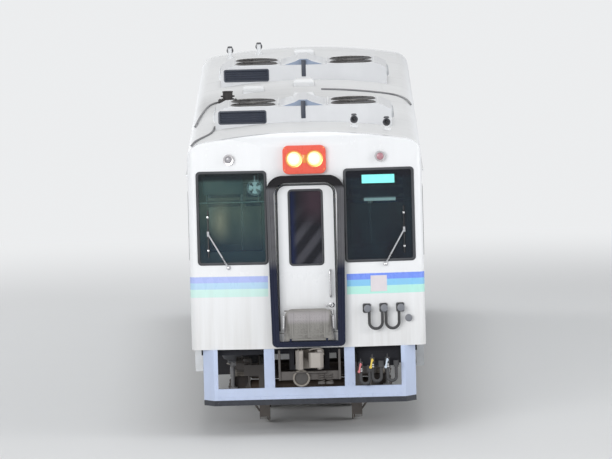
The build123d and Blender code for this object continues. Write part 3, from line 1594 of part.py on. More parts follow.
def air_reservoirs():
    """Three air tanks with domed ends, each held by two straps."""
    made = Part()
    r = air_tank_radius
    z = underframe_bottom - r - air_tank_drop
    cap_radius = r * air_tank_dome_share
    for x, bearer in air_tanks:
        straps = (bearer * cross_bearer_pitch, (bearer + 1) * cross_bearer_pitch)
        y0, y1 = straps[0] - air_tank_overhang, straps[1] + air_tank_overhang
        dome0, dome1 = y0 + air_tank_dome, y1 - air_tank_dome
        tank = rod((x, dome0, z), (x, dome1, z), r)
        tank += rod((x, y0, z), (x, dome0 + lap, z), cap_radius)
        tank += rod((x, dome1 - lap, z), (x, y1, z), cap_radius)
        for y in straps:
            a, b = y - air_strap_half, y + air_strap_half
            tank += rod((x, a, z), (x, b, z), r + air_strap_thickness)
            bracket_x0, bracket_x1 = x - air_bracket_half, x + air_bracket_half
            tank += block(bracket_x0, bracket_x1, a, b, z + r - air_bracket_root, underframe_bottom)
        made += tank
    return made


# Inside: Y of the bulkhead behind each cab, seats and rails
bulkhead_setback = 1300.0
bulkhead_station = half_length - bulkhead_setback
bulkhead_thickness = 30.0
bulkhead_inner = 420.0
bulkhead_height = 1840.0
bulkhead_window_edge = 110.0
bulkhead_window_bottom = 900.0
bulkhead_window_top = 120.0
bulkhead_cut_reach = 50.0
bulkhead_post = 40.0
desk_inner = 470.0
desk_depth = 420.0
desk_height = 820.0
desk_top_thickness = 130.0
desk_hood_height = 150.0
desk_wall_gap = 4.0
desk_left_share = 0.6
desk_leg_share = 0.6
desk_hood_share = 0.45
desk_hood_inner = 80.0
desk_hood_outer = 180.0
driver_seat_inset = 535.0
driver_seat_width = 430.0
driver_seat_height = 480.0
driver_seat_gap = 240.0
driver_seat_depth = 380.0
driver_seat_thickness = 80.0
driver_back_start = 320.0
driver_back_end = 390.0
driver_back_height = 480.0
driver_post_inset = 180.0
driver_post_drop = 70.0
driver_post_radius = 60.0
seat_pair_width = 960.0
seat_base_height = 420.0
seat_back_height = 1120.0
seat_depth = 450.0
seat_back_thickness = 90.0
seat_base_thickness = 110.0
seat_plinth_inset = 60.0
seat_plinth_setback = 90.0
seat_gap = 3.0
bench_thickness = 90.0
bench_plinth_inset = 120.0
bench_plinth_end = 20.0
bench_gap = 60.0
pole_gap = 60.0
bay_count = window_count - 3
bay_pitch = window_pitch
bench_length = 1350.0
bench_back_height = 830.0
pole_radius = 16.0
rail_radius = 14.0
rail_drop = 130.0
rail_hangers = 5
hanger_radius = 10.0
seat_wall_gap = 8.0


def cab_desks():
    """A driving desk on each side of both cabs, with the driver's seat behind the right one."""
    x1 = half_width - side_wall_thickness - seam
    y0 = -half_length + end_wall_thickness + end_sweep + desk_wall_gap
    top = floor_top + desk_height
    leg_top = top - desk_top_thickness
    made = Part()
    for side in (-1, 1):
        depth = desk_depth if side > 0 else desk_depth * desk_left_share
        a, b = sorted((side * desk_inner, side * x1))
        desk = block(a, b, y0, y0 + depth * desk_leg_share, floor_top, leg_top + 2 * lap)
        desk += block(a, b, y0, y0 + depth, leg_top, top)
        if side > 0:
            a, b = a + desk_hood_inner, b - desk_hood_outer
            desk += block(a, b, y0, y0 + depth * desk_hood_share, top - lap, top + desk_hood_height)
        made += desk
    return both_ends(made + driver_seat(y0 + desk_depth + driver_seat_gap))


def driver_seat(y):
    """The driver's seat on its post; y is the front edge of the cushion."""
    x = half_width - driver_seat_inset
    half = driver_seat_width / 2
    z = floor_top + driver_seat_height
    seat = block(x - half, x + half, y, y + driver_seat_depth, z - driver_seat_thickness, z)
    back_y0, back_y1 = y + driver_back_start, y + driver_back_end
    seat += block(x - half, x + half, back_y0, back_y1, z - 2 * lap, z + driver_back_height)
    post_y = y + driver_post_inset
    return seat + rod((x, post_y, floor_top), (x, post_y, z - driver_post_drop), driver_post_radius)


def bulkheads():
    """Partitions beside the passage behind each cab, with a window each, and their rails."""
    x1 = half_width - side_wall_thickness - seam
    y = -bulkhead_station
    half = bulkhead_thickness / 2
    panel = block(bulkhead_inner, x1, y - half, y + half, floor_top, floor_top + bulkhead_height)
    window_x0, window_x1 = bulkhead_inner + bulkhead_window_edge, x1 - bulkhead_window_edge
    window_z0 = floor_top + bulkhead_window_bottom
    window_z1 = floor_top + bulkhead_height - bulkhead_window_top
    reach = bulkhead_cut_reach
    panel -= block(window_x0, window_x1, y - reach, y + reach, window_z0, window_z1)
    post_x1 = bulkhead_inner + bulkhead_post
    post_half = bulkhead_post / 2
    post_top = ceiling_at(post_x1) - seam
    panel += block(bulkhead_inner, post_x1, y - post_half, y + post_half, floor_top, post_top)
    return both_ends(both_sides(panel))


def seat_block(y, facing):
    """A double seat on the right side; facing is the way that its sitter looks along Y."""
    x1 = half_width - side_wall_thickness - seat_wall_gap
    x0 = x1 - seat_pair_width
    front = y + facing * seat_depth
    base_top = floor_top + seat_base_height
    base_bottom = base_top - seat_base_thickness
    base = block(x0, x1, y, front, base_bottom, base_top)
    inset = seat_plinth_inset
    plinth_front = front - facing * seat_plinth_setback
    plinth = block(x0 + inset, x1, y + facing * inset, plinth_front, floor_top, base_bottom + 2 * lap)
    z1 = floor_top + seat_back_height
    back = block(x0, x1, y, y + facing * seat_back_thickness, base_top + seam, z1)
    return base + plinth + back


def bench_seat(y0, y1):
    """A bench along the right side wall."""
    x1 = half_width - side_wall_thickness - seat_wall_gap
    x0 = x1 - seat_depth
    top = floor_top + seat_base_height
    bottom = top - bench_thickness
    bench = block(x0, x1, y0, y1, bottom, top)
    end = bench_plinth_end
    bench += block(x0 + bench_plinth_inset, x1, y0 + end, y1 - end, floor_top, bottom + 2 * lap)
    bench += block(x1 - seat_back_thickness, x1, y0, y1, top + seam, floor_top + bench_back_height)
    return bench


def seats():
    """Facing pairs of double seats at the windows and a bench at each end of the saloon."""
    made = Part()
    for i in range(bay_count):
        y = (i - (bay_count - 1) / 2) * bay_pitch
        made += seat_block(y - bay_pitch / 2 + seat_gap, 1)
        made += seat_block(y + bay_pitch / 2 - seat_gap, -1)
    end = bay_count * bay_pitch / 2 + bench_gap
    for side in (-1, 1):
        y0, y1 = sorted((side * end, side * (end + bench_length)))
        made += bench_seat(y0, y1)
    return both_sides(made)


def handrails():
    """Poles by the doors and the rails under the ceiling, with their hangers."""
    x = half_width - side_wall_thickness - seat_depth - pole_gap
    top = ceiling_at(x + pole_radius) - seam
    end = door_centre - door_opening / 2 - pole_gap
    z = ceiling_side_height - rail_drop
    made = Part()
    for side in (-1, 1):
        made += rod((x, side * end, floor_top), (x, side * end, top), pole_radius)
    reach = end - pole_radius - seam
    made += rod((x, -reach, z), (x, reach, z), rail_radius)
    for i in range(rail_hangers):
        y = ((i + 0.5) / rail_hangers * 2 - 1) * end
        made += rod((x, y, z + rail_radius + seam), (x, y, top), hanger_radius)
    return both_sides(made)


def windscreen():
    """The right windscreen, set a little back in its hole."""
    back = -windscreen_recess - windscreen_thickness
    return facet * extrude(Pos(0, 0, back) * windscreen_outline(seam), windscreen_thickness)


def at_bogie(shape, side):
    """A bogie piece carried to its place; side is -1 for the photographed end."""
    return Pos(0, side * bogie_offset, 0) * shape


def main():
    os.makedirs("parts", exist_ok=True)
    front_end = end_wall() + door_hinge_lugs()
    right_wall = side_wall()
    right_cab_sides = cab_side() + mirror(cab_side(), Plane.XZ)
    pieces = {
        "underframe": underframe(),
        "floor": floor_slab(),
        "side_wall_right": right_wall,
        "side_wall_left": mirror(right_wall, Plane.YZ),
        "cab_sides": both_sides(right_cab_sides),
        "end_wall_front": front_end,
        "end_wall_rear": other_end(front_end),
        "roof": roof(),
        "door_sills": both_sides(door_sill() + mirror(door_sill(), Plane.XZ)),
        "side_windows": all_windows(window_panes),
        "window_frames": all_windows(window_frame),
        "windscreens": both_ends(both_sides(windscreen())),
        "gangway_frames": both_ends(gangway_frame()),
        "lamp_housings": both_ends(lamp_housing()),
        "headlamp_lenses": both_ends(lamp_lenses()),
        "tail_lamps": both_ends(tail_lamps()),
        "wipers": both_ends(wipers()),
        "skirts": both_ends(skirt()),
        "jumper_cables": both_ends(jumper_cables()),
        "air_hoses": both_ends(air_hoses()),
        "roof_units": roof_units(),
        "roof_ventilators": roof_ventilators(),
        "exhaust_stack": exhaust_stack(),
        "engine": engine(),
        "transmission": transmission(),
        "radiator": radiator(),
        "fuel_tank": fuel_tank(),
        "air_reservoirs": air_reservoirs(),
        "equipment_boxes": equipment_boxes(),
        "cab_desks": cab_desks(),
        "cab_bulkheads": bulkheads(),
        "seats": seats(),
        "handrails": handrails(),
        "final_drive": at_bogie(final_drive(), 1),
    }
    door, pane = side_door(), side_door_glass()
    places = {
        "front_right": lambda s: s,
        "front_left": lambda s: mirror(s, Plane.YZ),
        "rear_right": lambda s: mirror(s, Plane.XZ),
        "rear_left": lambda s: Rot(0, 0, 180) * s,
    }
    for place, move in places.items():
        pieces["side_door_" + place] = move(door)
        pieces["side_door_glass_" + place] = move(pane)
    ends = {"front": lambda s: s, "rear": other_end}
    for place, move in ends.items():
        pieces["end_door_" + place] = move(end_door())
        pieces["end_door_glass_" + place] = move(end_door_glass())
        pieces["footplate_" + place] = move(footplate())
        pieces["coupler_" + place] = move(coupler())
    for place, side in (("front", -1), ("rear", 1)):
        pieces["bogie_frame_" + place] = at_bogie(bogie_frame(side), side)
        pieces["axle_boxes_" + place] = at_bogie(axle_boxes(), side)
        pieces["air_springs_" + place] = at_bogie(air_springs(), side)
        for number, y in enumerate(axle_places(), 1):
            pieces[f"wheelset_{place}_{number}"] = Pos(0, side * bogie_offset + y, 0) * wheelset()
    for name, shape in pieces.items():
        export_step(shape, f"parts/{name}.step")


if __name__ == "__main__":
    main()
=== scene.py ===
import bmesh
import bpy
import json
import numpy as np
from math import atan2, cos, hypot, pi, radians, sin
from mathutils import Matrix, Vector

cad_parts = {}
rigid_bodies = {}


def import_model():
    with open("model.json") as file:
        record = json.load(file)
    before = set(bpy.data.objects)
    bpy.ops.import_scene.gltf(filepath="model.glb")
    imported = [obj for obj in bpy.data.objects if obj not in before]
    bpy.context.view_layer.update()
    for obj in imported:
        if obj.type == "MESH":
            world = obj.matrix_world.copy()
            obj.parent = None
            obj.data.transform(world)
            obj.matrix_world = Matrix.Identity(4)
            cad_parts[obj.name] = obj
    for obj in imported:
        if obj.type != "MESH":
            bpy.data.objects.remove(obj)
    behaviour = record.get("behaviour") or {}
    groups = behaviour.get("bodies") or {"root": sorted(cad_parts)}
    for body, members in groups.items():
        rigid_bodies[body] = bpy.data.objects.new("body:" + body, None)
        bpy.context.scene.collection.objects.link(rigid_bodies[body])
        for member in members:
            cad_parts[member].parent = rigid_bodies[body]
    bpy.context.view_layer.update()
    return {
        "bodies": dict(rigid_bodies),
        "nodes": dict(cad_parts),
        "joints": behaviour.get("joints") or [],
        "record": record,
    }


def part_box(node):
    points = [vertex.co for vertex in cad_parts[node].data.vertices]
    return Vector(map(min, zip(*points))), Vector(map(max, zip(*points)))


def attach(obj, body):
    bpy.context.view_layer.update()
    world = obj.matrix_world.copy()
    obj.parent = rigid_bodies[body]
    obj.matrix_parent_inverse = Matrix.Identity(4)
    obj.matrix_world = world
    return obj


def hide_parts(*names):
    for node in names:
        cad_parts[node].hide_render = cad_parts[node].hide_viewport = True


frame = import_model()
nodes = frame["nodes"]
print("stage: frame loaded,", len(nodes), "nodes")

# Sizes that the rest is worked out from, in metres, read off the frame where it has them
railTop = 0.027  # the wheel flanges reach this far below the rail
sideLow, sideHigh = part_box("side_wall_right")
endLow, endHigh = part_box("end_wall_front")
halfWidth = sideHigh.x
halfLength = -endLow.y
bodyBottom = sideLow.z
roofTop = endHigh.z
endFlatHalf = 0.52
endSweep = 0.09


def up(height):
    return railTop + height


# Shapes
# A shape is a pair of arrays: points (n, 3) and four-sided faces (m, 4).


def gridShape(points, closeRows=False, closeCols=False):
    # f(i, j) on a grid of rows and columns, joined to quads and wrapped round where it closes
    rows, cols = points.shape[:2]
    i, j = np.meshgrid(
        np.arange(rows if closeRows else rows - 1), np.arange(cols if closeCols else cols - 1), indexing="ij"
    )
    nextI, nextJ = (i + 1) % rows, (j + 1) % cols
    faces = np.stack([i * cols + j, i * cols + nextJ, nextI * cols + nextJ, nextI * cols + j], axis=-1)
    return points.reshape(-1, 3), faces.reshape(-1, 4)


def joined(*shapes):
    points, faces, start = [], [], 0
    for shapePoints, shapeFaces in shapes:
        points.append(shapePoints)
        faces.append(shapeFaces + start)
        start += len(shapePoints)
    return np.concatenate(points), np.concatenate(faces)


def copiesAt(shape, offsets):
    # the shape once at each offset: point p of copy k is p + offset k
    points, faces = shape
    offsets = np.asarray(offsets, float)
    allPoints = (points[None] + offsets[:, None]).reshape(-1, 3)
    steps = np.arange(len(offsets))[:, None, None] * len(points)
    return allPoints, (faces[None] + steps).reshape(-1, 4)


def placed(shape, origin=(0, 0, 0), xDir=(1, 0, 0), yDir=(0, 1, 0), zDir=(0, 0, 1)):
    # p = origin + x * xDir + y * yDir + z * zDir
    points, faces = shape
    axes = np.array([xDir, yDir, zDir], float)
    return points @ axes + np.array(origin, float), faces


def moved(shape, x=0.0, y=0.0, z=0.0):
    return shape[0] + np.array([x, y, z], float), shape[1]


def mirroredX(shape):
    return shape[0] * np.array([-1.0, 1.0, 1.0]), shape[1][:, ::-1]


def mirroredY(shape):
    return shape[0] * np.array([1.0, -1.0, 1.0]), shape[1][:, ::-1]


def turnedHalf(shape):
    # half a turn about the car's upright axis, which takes one end to the other
    return shape[0] * np.array([-1.0, -1.0, 1.0]), shape[1]


def bothSides(shape):
    return joined(shape, mirroredX(shape))


def bothEnds(shape):
    return joined(shape, turnedHalf(shape))


def fourPlaces(shape):
    return bothEnds(bothSides(shape))


def same(shape):
    return shape


carEnds = (("front", same), ("rear", turnedHalf))


def spun(shape, turn):
    # turned about Z by an angle
    return placed(shape, (0, 0, 0), (cos(turn), sin(turn), 0), (-sin(turn), cos(turn), 0))


def spunRound(shape, count):
    return joined(*[spun(shape, k * 2 * pi / count) for k in range(count)])


def hanging(shape, origin):
    # upside down under a place
    return placed(shape, origin, (1, 0, 0), (0, -1, 0), (0, 0, -1))


def alongY(shape, stations, z=0.0):
    return copiesAt(shape, [(0, y, z) for y in stations])


def crossing(xs, ys, z=0.0):
    # every x with every y, at one height
    return [(x, y, z) for x in xs for y in ys]


def roundPlaces(radius, count, phase=0.0, height=0.0):
    # places evenly round a circle: (r cos a, r sin a, h)
    a = np.arange(count) * 2 * pi / count + phase
    return np.column_stack([radius * np.cos(a), radius * np.sin(a), a * 0 + height])


def arcPoints(radius, count, start=0.0, sweep=pi / 2):
    # points along an arc: (r cos a, r sin a)
    a = start + np.linspace(0, sweep, count)
    return np.column_stack([radius * np.cos(a), radius * np.sin(a)])


def flat(outline):
    # an outline in X and Y, laid at Z = 0
    return np.column_stack([outline, np.zeros(len(outline))])


def helix(radius, turns, low, high, count):
    # a coil's line: (r cos a, r sin a, z) with z rising evenly
    a = np.linspace(0, 2 * pi * turns, count)
    return np.column_stack([radius * np.cos(a), radius * np.sin(a), np.linspace(low, high, count)])


def lathe(profile, sides=32, start=0.0, sweep=2 * pi):
    # a profile of (radius, height) turned about Z: (r cos a, r sin a, h)
    r, h = np.array(profile, float).T
    whole = abs(sweep - 2 * pi) < 1e-9
    a = start + np.linspace(0, sweep, sides + (0 if whole else 1), endpoint=not whole)
    heights = np.broadcast_to(h[:, None], (len(r), len(a)))
    return gridShape(np.stack([r[:, None] * np.cos(a), r[:, None] * np.sin(a), heights], -1), closeCols=whole)


def stud(foot, shoulder, side, top, sides=12):
    # a screw head: its foot's and shoulder's radius, the height of its side and of its middle
    return lathe([(0, 0), (foot, 0), (shoulder, side), (0, top)], sides)


def band(inner, outer, low, high, sides):
    # a band between two radii, or a disc where the inner one is 0
    return lathe([(inner, low), (outer, low), (outer, high), (inner, high)], sides)


def wireRing(radius, height, thick, sides):
    # a ring of thin four-sided wire
    return lathe([(radius - thick, height), (radius, height + thick), (radius + thick, height),
                  (radius, height - thick)], sides)


def roundBox(low, high, radius=0.004, steps=2):
    # a box whose edges are rounded: a sphere's grid pushed out to the eight corners, n r + sign(n) (half - r)
    low, high = np.array(low, float), np.array(high, float)
    centre, half = (low + high) / 2, np.abs(high - low) / 2
    radius = min(radius, half.min() * 0.98)
    quarter = np.linspace(0, pi / 2, steps + 1)
    around = np.concatenate([quarter + k * pi / 2 for k in range(4)])
    signX = np.repeat([1, -1, -1, 1], steps + 1)
    signY = np.repeat([1, 1, -1, -1], steps + 1)
    upDown = np.concatenate([quarter - pi / 2, quarter])
    signZ = np.repeat([-1, 1], steps + 1)
    inner = half - radius
    lat, lon = upDown[:, None], around[None]
    x = radius * np.cos(lat) * np.cos(lon) + signX[None] * inner[0]
    y = radius * np.cos(lat) * np.sin(lon) + signY[None] * inner[1]
    z = np.broadcast_to(radius * np.sin(lat) + signZ[:, None] * inner[2], x.shape)
    ends = np.zeros((1, x.shape[1], 3))
    grid = np.concatenate([ends + [0, 0, -half[2]], np.stack([x, y, z], -1), ends + [0, 0, half[2]]])
    return gridShape(grid + centre, closeCols=True)


def sweptAlong(path, profile, upward=(0, 0, 1), closed=False, capped=True):
    # a closed profile (side, rise) carried along a path with mitred corners: p + side (t x up) + rise up'
    path, profile = np.array(path, float), np.array(profile, float)
    if closed:
        before, after = np.roll(path, 1, 0), np.roll(path, -1, 0)
    else:
        before = np.vstack([2 * path[0] - path[1], path[:-1]])
        after = np.vstack([path[1:], 2 * path[-1] - path[-2]])
    stepIn, stepOut = path - before, after - path
    stepIn = stepIn / np.linalg.norm(stepIn, axis=1, keepdims=True)
    stepOut = stepOut / np.linalg.norm(stepOut, axis=1, keepdims=True)
    tangent = stepIn + stepOut
    tangent /= np.linalg.norm(tangent, axis=1, keepdims=True)
    mitre = 1 / np.maximum(np.sum(tangent * stepOut, axis=1, keepdims=True), 0.35)
    side = np.cross(tangent, np.array(upward, float))
    side /= np.linalg.norm(side, axis=1, keepdims=True)
    rise = np.cross(side, tangent)
    points = path[:, None] + (side * mitre)[:, None] * profile[None, :, :1]
    points = points + rise[:, None] * profile[None, :, 1:]
    if not closed and capped:
        first = np.broadcast_to(points[0].mean(0), points[:1].shape)
        last = np.broadcast_to(points[-1].mean(0), points[:1].shape)
        points = np.concatenate([first, points, last])
    return gridShape(points, closeRows=closed, closeCols=True)


def circleProfile(radius, sides=10):
    a = np.linspace(0, 2 * pi, sides, endpoint=False)
    return np.stack([radius * np.cos(a), radius * np.sin(a)], -1)


def rectProfile(side0, side1, rise0, rise1):
    return np.array([(side0, rise0), (side1, rise0), (side1, rise1), (side0, rise1)], float)


def tubeAlong(path, radius, sides=10, upward=(0.13, 0.29, 0.95), closed=False):
    return sweptAlong(path, circleProfile(radius, sides), upward, closed)


def roundedRectPath(width, height, radius, steps=6):
    # a rounded rectangle's outline in X and Y, from its four corner arcs
    reach = np.array([width / 2 - radius, height / 2 - radius])
    return flat(np.concatenate([
        arcPoints(radius, steps + 1, k * pi / 2) + reach * signs
        for k, signs in enumerate(((1, 1), (-1, 1), (-1, -1), (1, -1)))
    ]))


def ringOn(width, height, corner, profile, centre=(0, 0), steps=6):
    # a gasket: a closed profile swept round a rounded rectangle that lies in X and Y
    return sweptAlong(roundedRectPath(width, height, corner, steps) + [*centre, 0.0], profile, closed=True)


def ringBetween(width, bottom, top, corner, profile, x=0.0):
    return ringOn(width, top - bottom, corner, profile, (x, (bottom + top) / 2))


def smoothPath(points, count=40):
    # a Catmull-Rom curve through a few given points, sampled evenly in its parameter
    p = np.array(points, float)
    p = np.vstack([2 * p[0] - p[1], p, 2 * p[-1] - p[-2]])
    t = np.linspace(0, len(p) - 3 - 1e-9, count)
    k = t.astype(int)
    f = (t - k)[:, None]
    a, b, c, d = p[k], p[k + 1], p[k + 2], p[k + 3]
    return 0.5 * (2 * b + (c - a) * f + (2 * a - 5 * b + 4 * c - d) * f**2 + (3 * b - a - 3 * c + d) * f**3)


def bentTube(points, count, radius, sides=10):
    return tubeAlong(smoothPath(points, count), radius, sides)


def boltShape(radius=0.011, height=0.008):
    # a hexagon head with a small dome, standing on Z = 0
    return lathe([(0, 0), (radius, 0), (radius, height * 0.75), (radius * 0.86, height), (0, height)], 6)


def outwardX(shape, origin=(0, 0, 0), side=1):
    # drawn with Z towards the viewer: X along the car, Y up and Z out from one side
    return placed(shape, origin, (0, side, 0), (0, 0, 1), (side, 0, 0))


def outwardY(shape, origin=(0, 0, 0), end=-1):
    return placed(shape, origin, (-end, 0, 0), (0, 0, 1), (0, end, 0))


# The swept half of the end wall on the right: u runs along it, v up and w outwards.
facetAngle = atan2(endSweep, halfWidth - endFlatHalf)
facetOrigin = np.array([endFlatHalf, -halfLength, 0.0])
facetU = np.array([cos(facetAngle), sin(facetAngle), 0.0])
facetV = np.array([0.0, 0.0, 1.0])
facetW = np.array([sin(facetAngle), -cos(facetAngle), 0.0])


def onFacet(shape):
    return placed(shape, facetOrigin, facetU, facetV, facetW)


def alongFacet(offset):
    return (offset - endFlatHalf) / cos(facetAngle)


def linkNew(name, data):
    thing = bpy.data.objects.new(name, data)
    bpy.context.scene.collection.objects.link(thing)
    return thing


def makePiece(name, shape, material, body="carbody", replaced=(), sharp=38, weld=2e-5):
    points, faces = shape
    mesh = bpy.data.meshes.new(name)
    mesh.from_pydata(points.tolist(), [], faces.tolist())
    work = bmesh.new()
    work.from_mesh(mesh)
    bmesh.ops.remove_doubles(work, verts=work.verts, dist=weld)
    bmesh.ops.dissolve_degenerate(work, edges=work.edges, dist=weld / 2)
    bmesh.ops.recalc_face_normals(work, faces=work.faces)
    work.to_mesh(mesh)
    work.free()
    mesh.shade_smooth()
    mesh.set_sharp_from_angle(angle=radians(sharp))
    mesh.materials.append(material)
    piece = linkNew(name, mesh)
    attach(piece, body)
    if replaced:
        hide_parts(*replaced)
    return piece


def makeAll(*rows):
    # pieces of the car body, each row its name, shape, material and slot
    for name, shape, material, slot in rows:
        makePiece(name, shape, material)


# Materials
def shaded(colour, share):
    return tuple(c * share for c in colour)


class Num:
    # a number's socket, so that masks are written as sums and products
    def __init__(self, kit, socket):
        self.kit, self.socket = kit, socket

    def __add__(self, other):
        return self.kit.math("ADD", self, other)

    def __sub__(self, other):
        return self.kit.math("SUBTRACT", self, other)

    def __mul__(self, other):
        return self.kit.math("MULTIPLY", self, other)

    def __truediv__(self, other):
        return self.kit.math("DIVIDE", self, other)

    def __radd__(self, other):
        return self.kit.math("ADD", other, self)

    def __rsub__(self, other):
        return self.kit.math("SUBTRACT", other, self)

    def __rmul__(self, other):
        return self.kit.math("MULTIPLY", other, self)

    def __pow__(self, other):
        return self.kit.math("POWER", self, other)

    def __abs__(self):
        return self.kit.math("ABSOLUTE", self)

    def above(self, level, soft=0.0):
        # 1 where the number is over the level, 0 below, over a soft edge if one is given
        if soft <= 0:
            return self.kit.math("GREATER_THAN", self, level)
        return self.kit.rangeOf(self, level - soft, level + soft)

    def below(self, level, soft=0.0):
        return 1 - self.above(level, soft)

    def between(self, low, high, soft=0.0):
        return self.above(low, soft) * self.below(high, soft)


class MaterialKit:
    def __init__(self, name, world=None):
        self.material = world or bpy.data.materials.new(name)
        self.material.use_nodes = True
        self.tree = self.material.node_tree
        self.tree.nodes.clear()
        self.coords = self.tree.nodes.new("ShaderNodeTexCoord")
        self.position = self.coords.outputs["Object"]
        split = self.tree.nodes.new("ShaderNodeSeparateXYZ")
        self.tree.links.new(self.position, split.inputs[0])
        self.x, self.y, self.z = (Num(self, split.outputs[k]) for k in range(3))
        facing = self.tree.nodes.new("ShaderNodeSeparateXYZ")
        self.tree.links.new(self.coords.outputs["Normal"], facing.inputs[0])
        self.nx, self.ny, self.nz = (Num(self, facing.outputs[k]) for k in range(3))

    def feed(self, socket, value):
        if isinstance(value, Num):
            self.tree.links.new(value.socket, socket)
        elif isinstance(value, bpy.types.NodeSocket):
            self.tree.links.new(value, socket)
        elif hasattr(value, "__len__") and len(value) == 3 and socket.type == "RGBA":
            socket.default_value = (*value, 1.0)
        else:
            socket.default_value = value

    def node(self, kind, settings=None, inputs=None, output=0):
        made = self.tree.nodes.new(kind)
        for key, value in (settings or {}).items():
            setattr(made, key, value)
        for key, value in (inputs or {}).items():
            self.feed(made.inputs[key], value)
        if output is None:
            return made
        socket = made.outputs[output]
        return Num(self, socket) if socket.type == "VALUE" else socket

    def math(self, operation, a, b=0.0):
        return self.node("ShaderNodeMath", {"operation": operation}, {0: a, 1: b})

    def sign(self, value):
        return self.math("SIGN", value)

    def far(self, a, b):
        # the distance sqrt(a a + b b)
        return self.math("SQRT", a * a + b * b)

    def rangeOf(self, value, low, high, **more):
        # 0 at the low value and 1 at the high one
        return self.node("ShaderNodeMapRange", {"clamp": True, **more},
                         {"Value": value, "From Min": low, "From Max": high})

    def noise(self, scale, detail=3.0, roughness=0.55, vector=None, stretch=None):
        if stretch is not None:
            vector = self.node("ShaderNodeMapping", {}, {"Vector": self.position, "Scale": stretch})
        inputs = {"Vector": vector or self.position, "Scale": scale, "Detail": detail, "Roughness": roughness}
        return self.node("ShaderNodeTexNoise", {}, inputs)

    def mix(self, factor, a, b):
        # a where the factor is 0 and b where it is 1, as colours
        return self.node("ShaderNodeMix", {"data_type": "RGBA"}, {"Factor": factor, 6: a, 7: b}, 2)

    def bump(self, height, strength=0.3, distance=0.002):
        return self.node("ShaderNodeBump", {}, {"Height": height, "Strength": strength, "Distance": distance})

    def seen(self):
        # 1 for what the camera, a mirror or a pane of glass sees, 0 for light that falls on things
        kinds = ("Is Camera Ray", "Is Glossy Ray", "Is Transmission Ray")
        camera, glossy, through = (self.node("ShaderNodeLightPath", {}, {}, kind) for kind in kinds)
        return self.math("MAXIMUM", self.math("MAXIMUM", camera, glossy), through)

    def bsdf(self, kind, inputs):
        return self.node("ShaderNodeBsdf" + kind, {}, inputs)

    def blend(self, factor, a, b):
        # shader a where the factor is 0 and b where it is 1
        return self.node("ShaderNodeMixShader", {}, {0: factor, 1: a, 2: b})

    def surface(self, inputs):
        return self.finish(self.bsdf("Principled", inputs))

    def finish(self, shader, kind="Material"):
        self.node("ShaderNodeOutput" + kind, {}, {"Surface": shader}, None)
        return self.material


def dirtyPaint(name, colour, dustAmount, rough, **more):
    # an enamel with mottled colour, road dust that gathers low down and in streaks, and faint orange peel
    k = MaterialKit(name)
    s = {"dust": (0.3, 0.26, 0.21), "dustTop": 1.2, "metal": 0.0, "mottle": 0.12, "scale": 3.0, "peel": 0.25,
         "coat": 0.0, "wear": 0.0, "bare": (0.35, 0.33, 0.31), "patches": lambda k: (), "specular": 0.5}
    s.update(more)
    mottle = k.noise(s["scale"], 4.0)
    fine = k.noise(s["scale"] * 14, 3.0)
    streak = k.noise(4.0, 4.0, 0.6, stretch=(4.0, 4.0, 0.35))
    base = k.mix(mottle.above(0.5, 0.3), shaded(colour, 1 - s["mottle"] * 1.6), colour)
    low = 1 - k.rangeOf(k.z, 0.1, s["dustTop"])
    topFace = k.nz.above(0.5, 0.2)
    dust = (low * 0.7 + topFace * 0.5 + 0.15) * (streak * 0.7 + fine * 0.5) * (2 * dustAmount)
    dust = k.node("ShaderNodeClamp", {}, {"Value": dust})
    mixed = k.mix(dust, base, s["dust"])
    for mask, patch in s["patches"](k):
        mixed = k.mix(mask * (1 - dust * 0.35), mixed, patch)
    metal = s["metal"]
    if s["wear"] > 0:
        edge = k.node("ShaderNodeNewGeometry", {}, {}, "Pointiness")
        worn = (edge + (fine - 0.5) * 0.05).above(0.53, 0.015) * s["wear"]
        mixed = k.mix(worn, mixed, s["bare"])
        metal = metal + worn * 0.6
    return k.surface({
        "Base Color": mixed, "Roughness": rough + dust * 0.45 + (fine - 0.5) * 0.12, "Metallic": metal,
        "Coat Weight": s["coat"], "Specular IOR Level": s["specular"],
        "Normal": k.bump(fine + mottle * 0.5, s["peel"], 0.0012),
    })


# The finishes of this car
stripes = ((1.812, 1.885, (0.17, 0.30, 0.92)), (1.735, 1.812, (0.24, 0.60, 0.91)),
           (1.640, 1.735, (0.48, 0.89, 0.79)))
bodyWhite = (0.86, 0.87, 0.885)
cabinCream = (0.62, 0.60, 0.54)


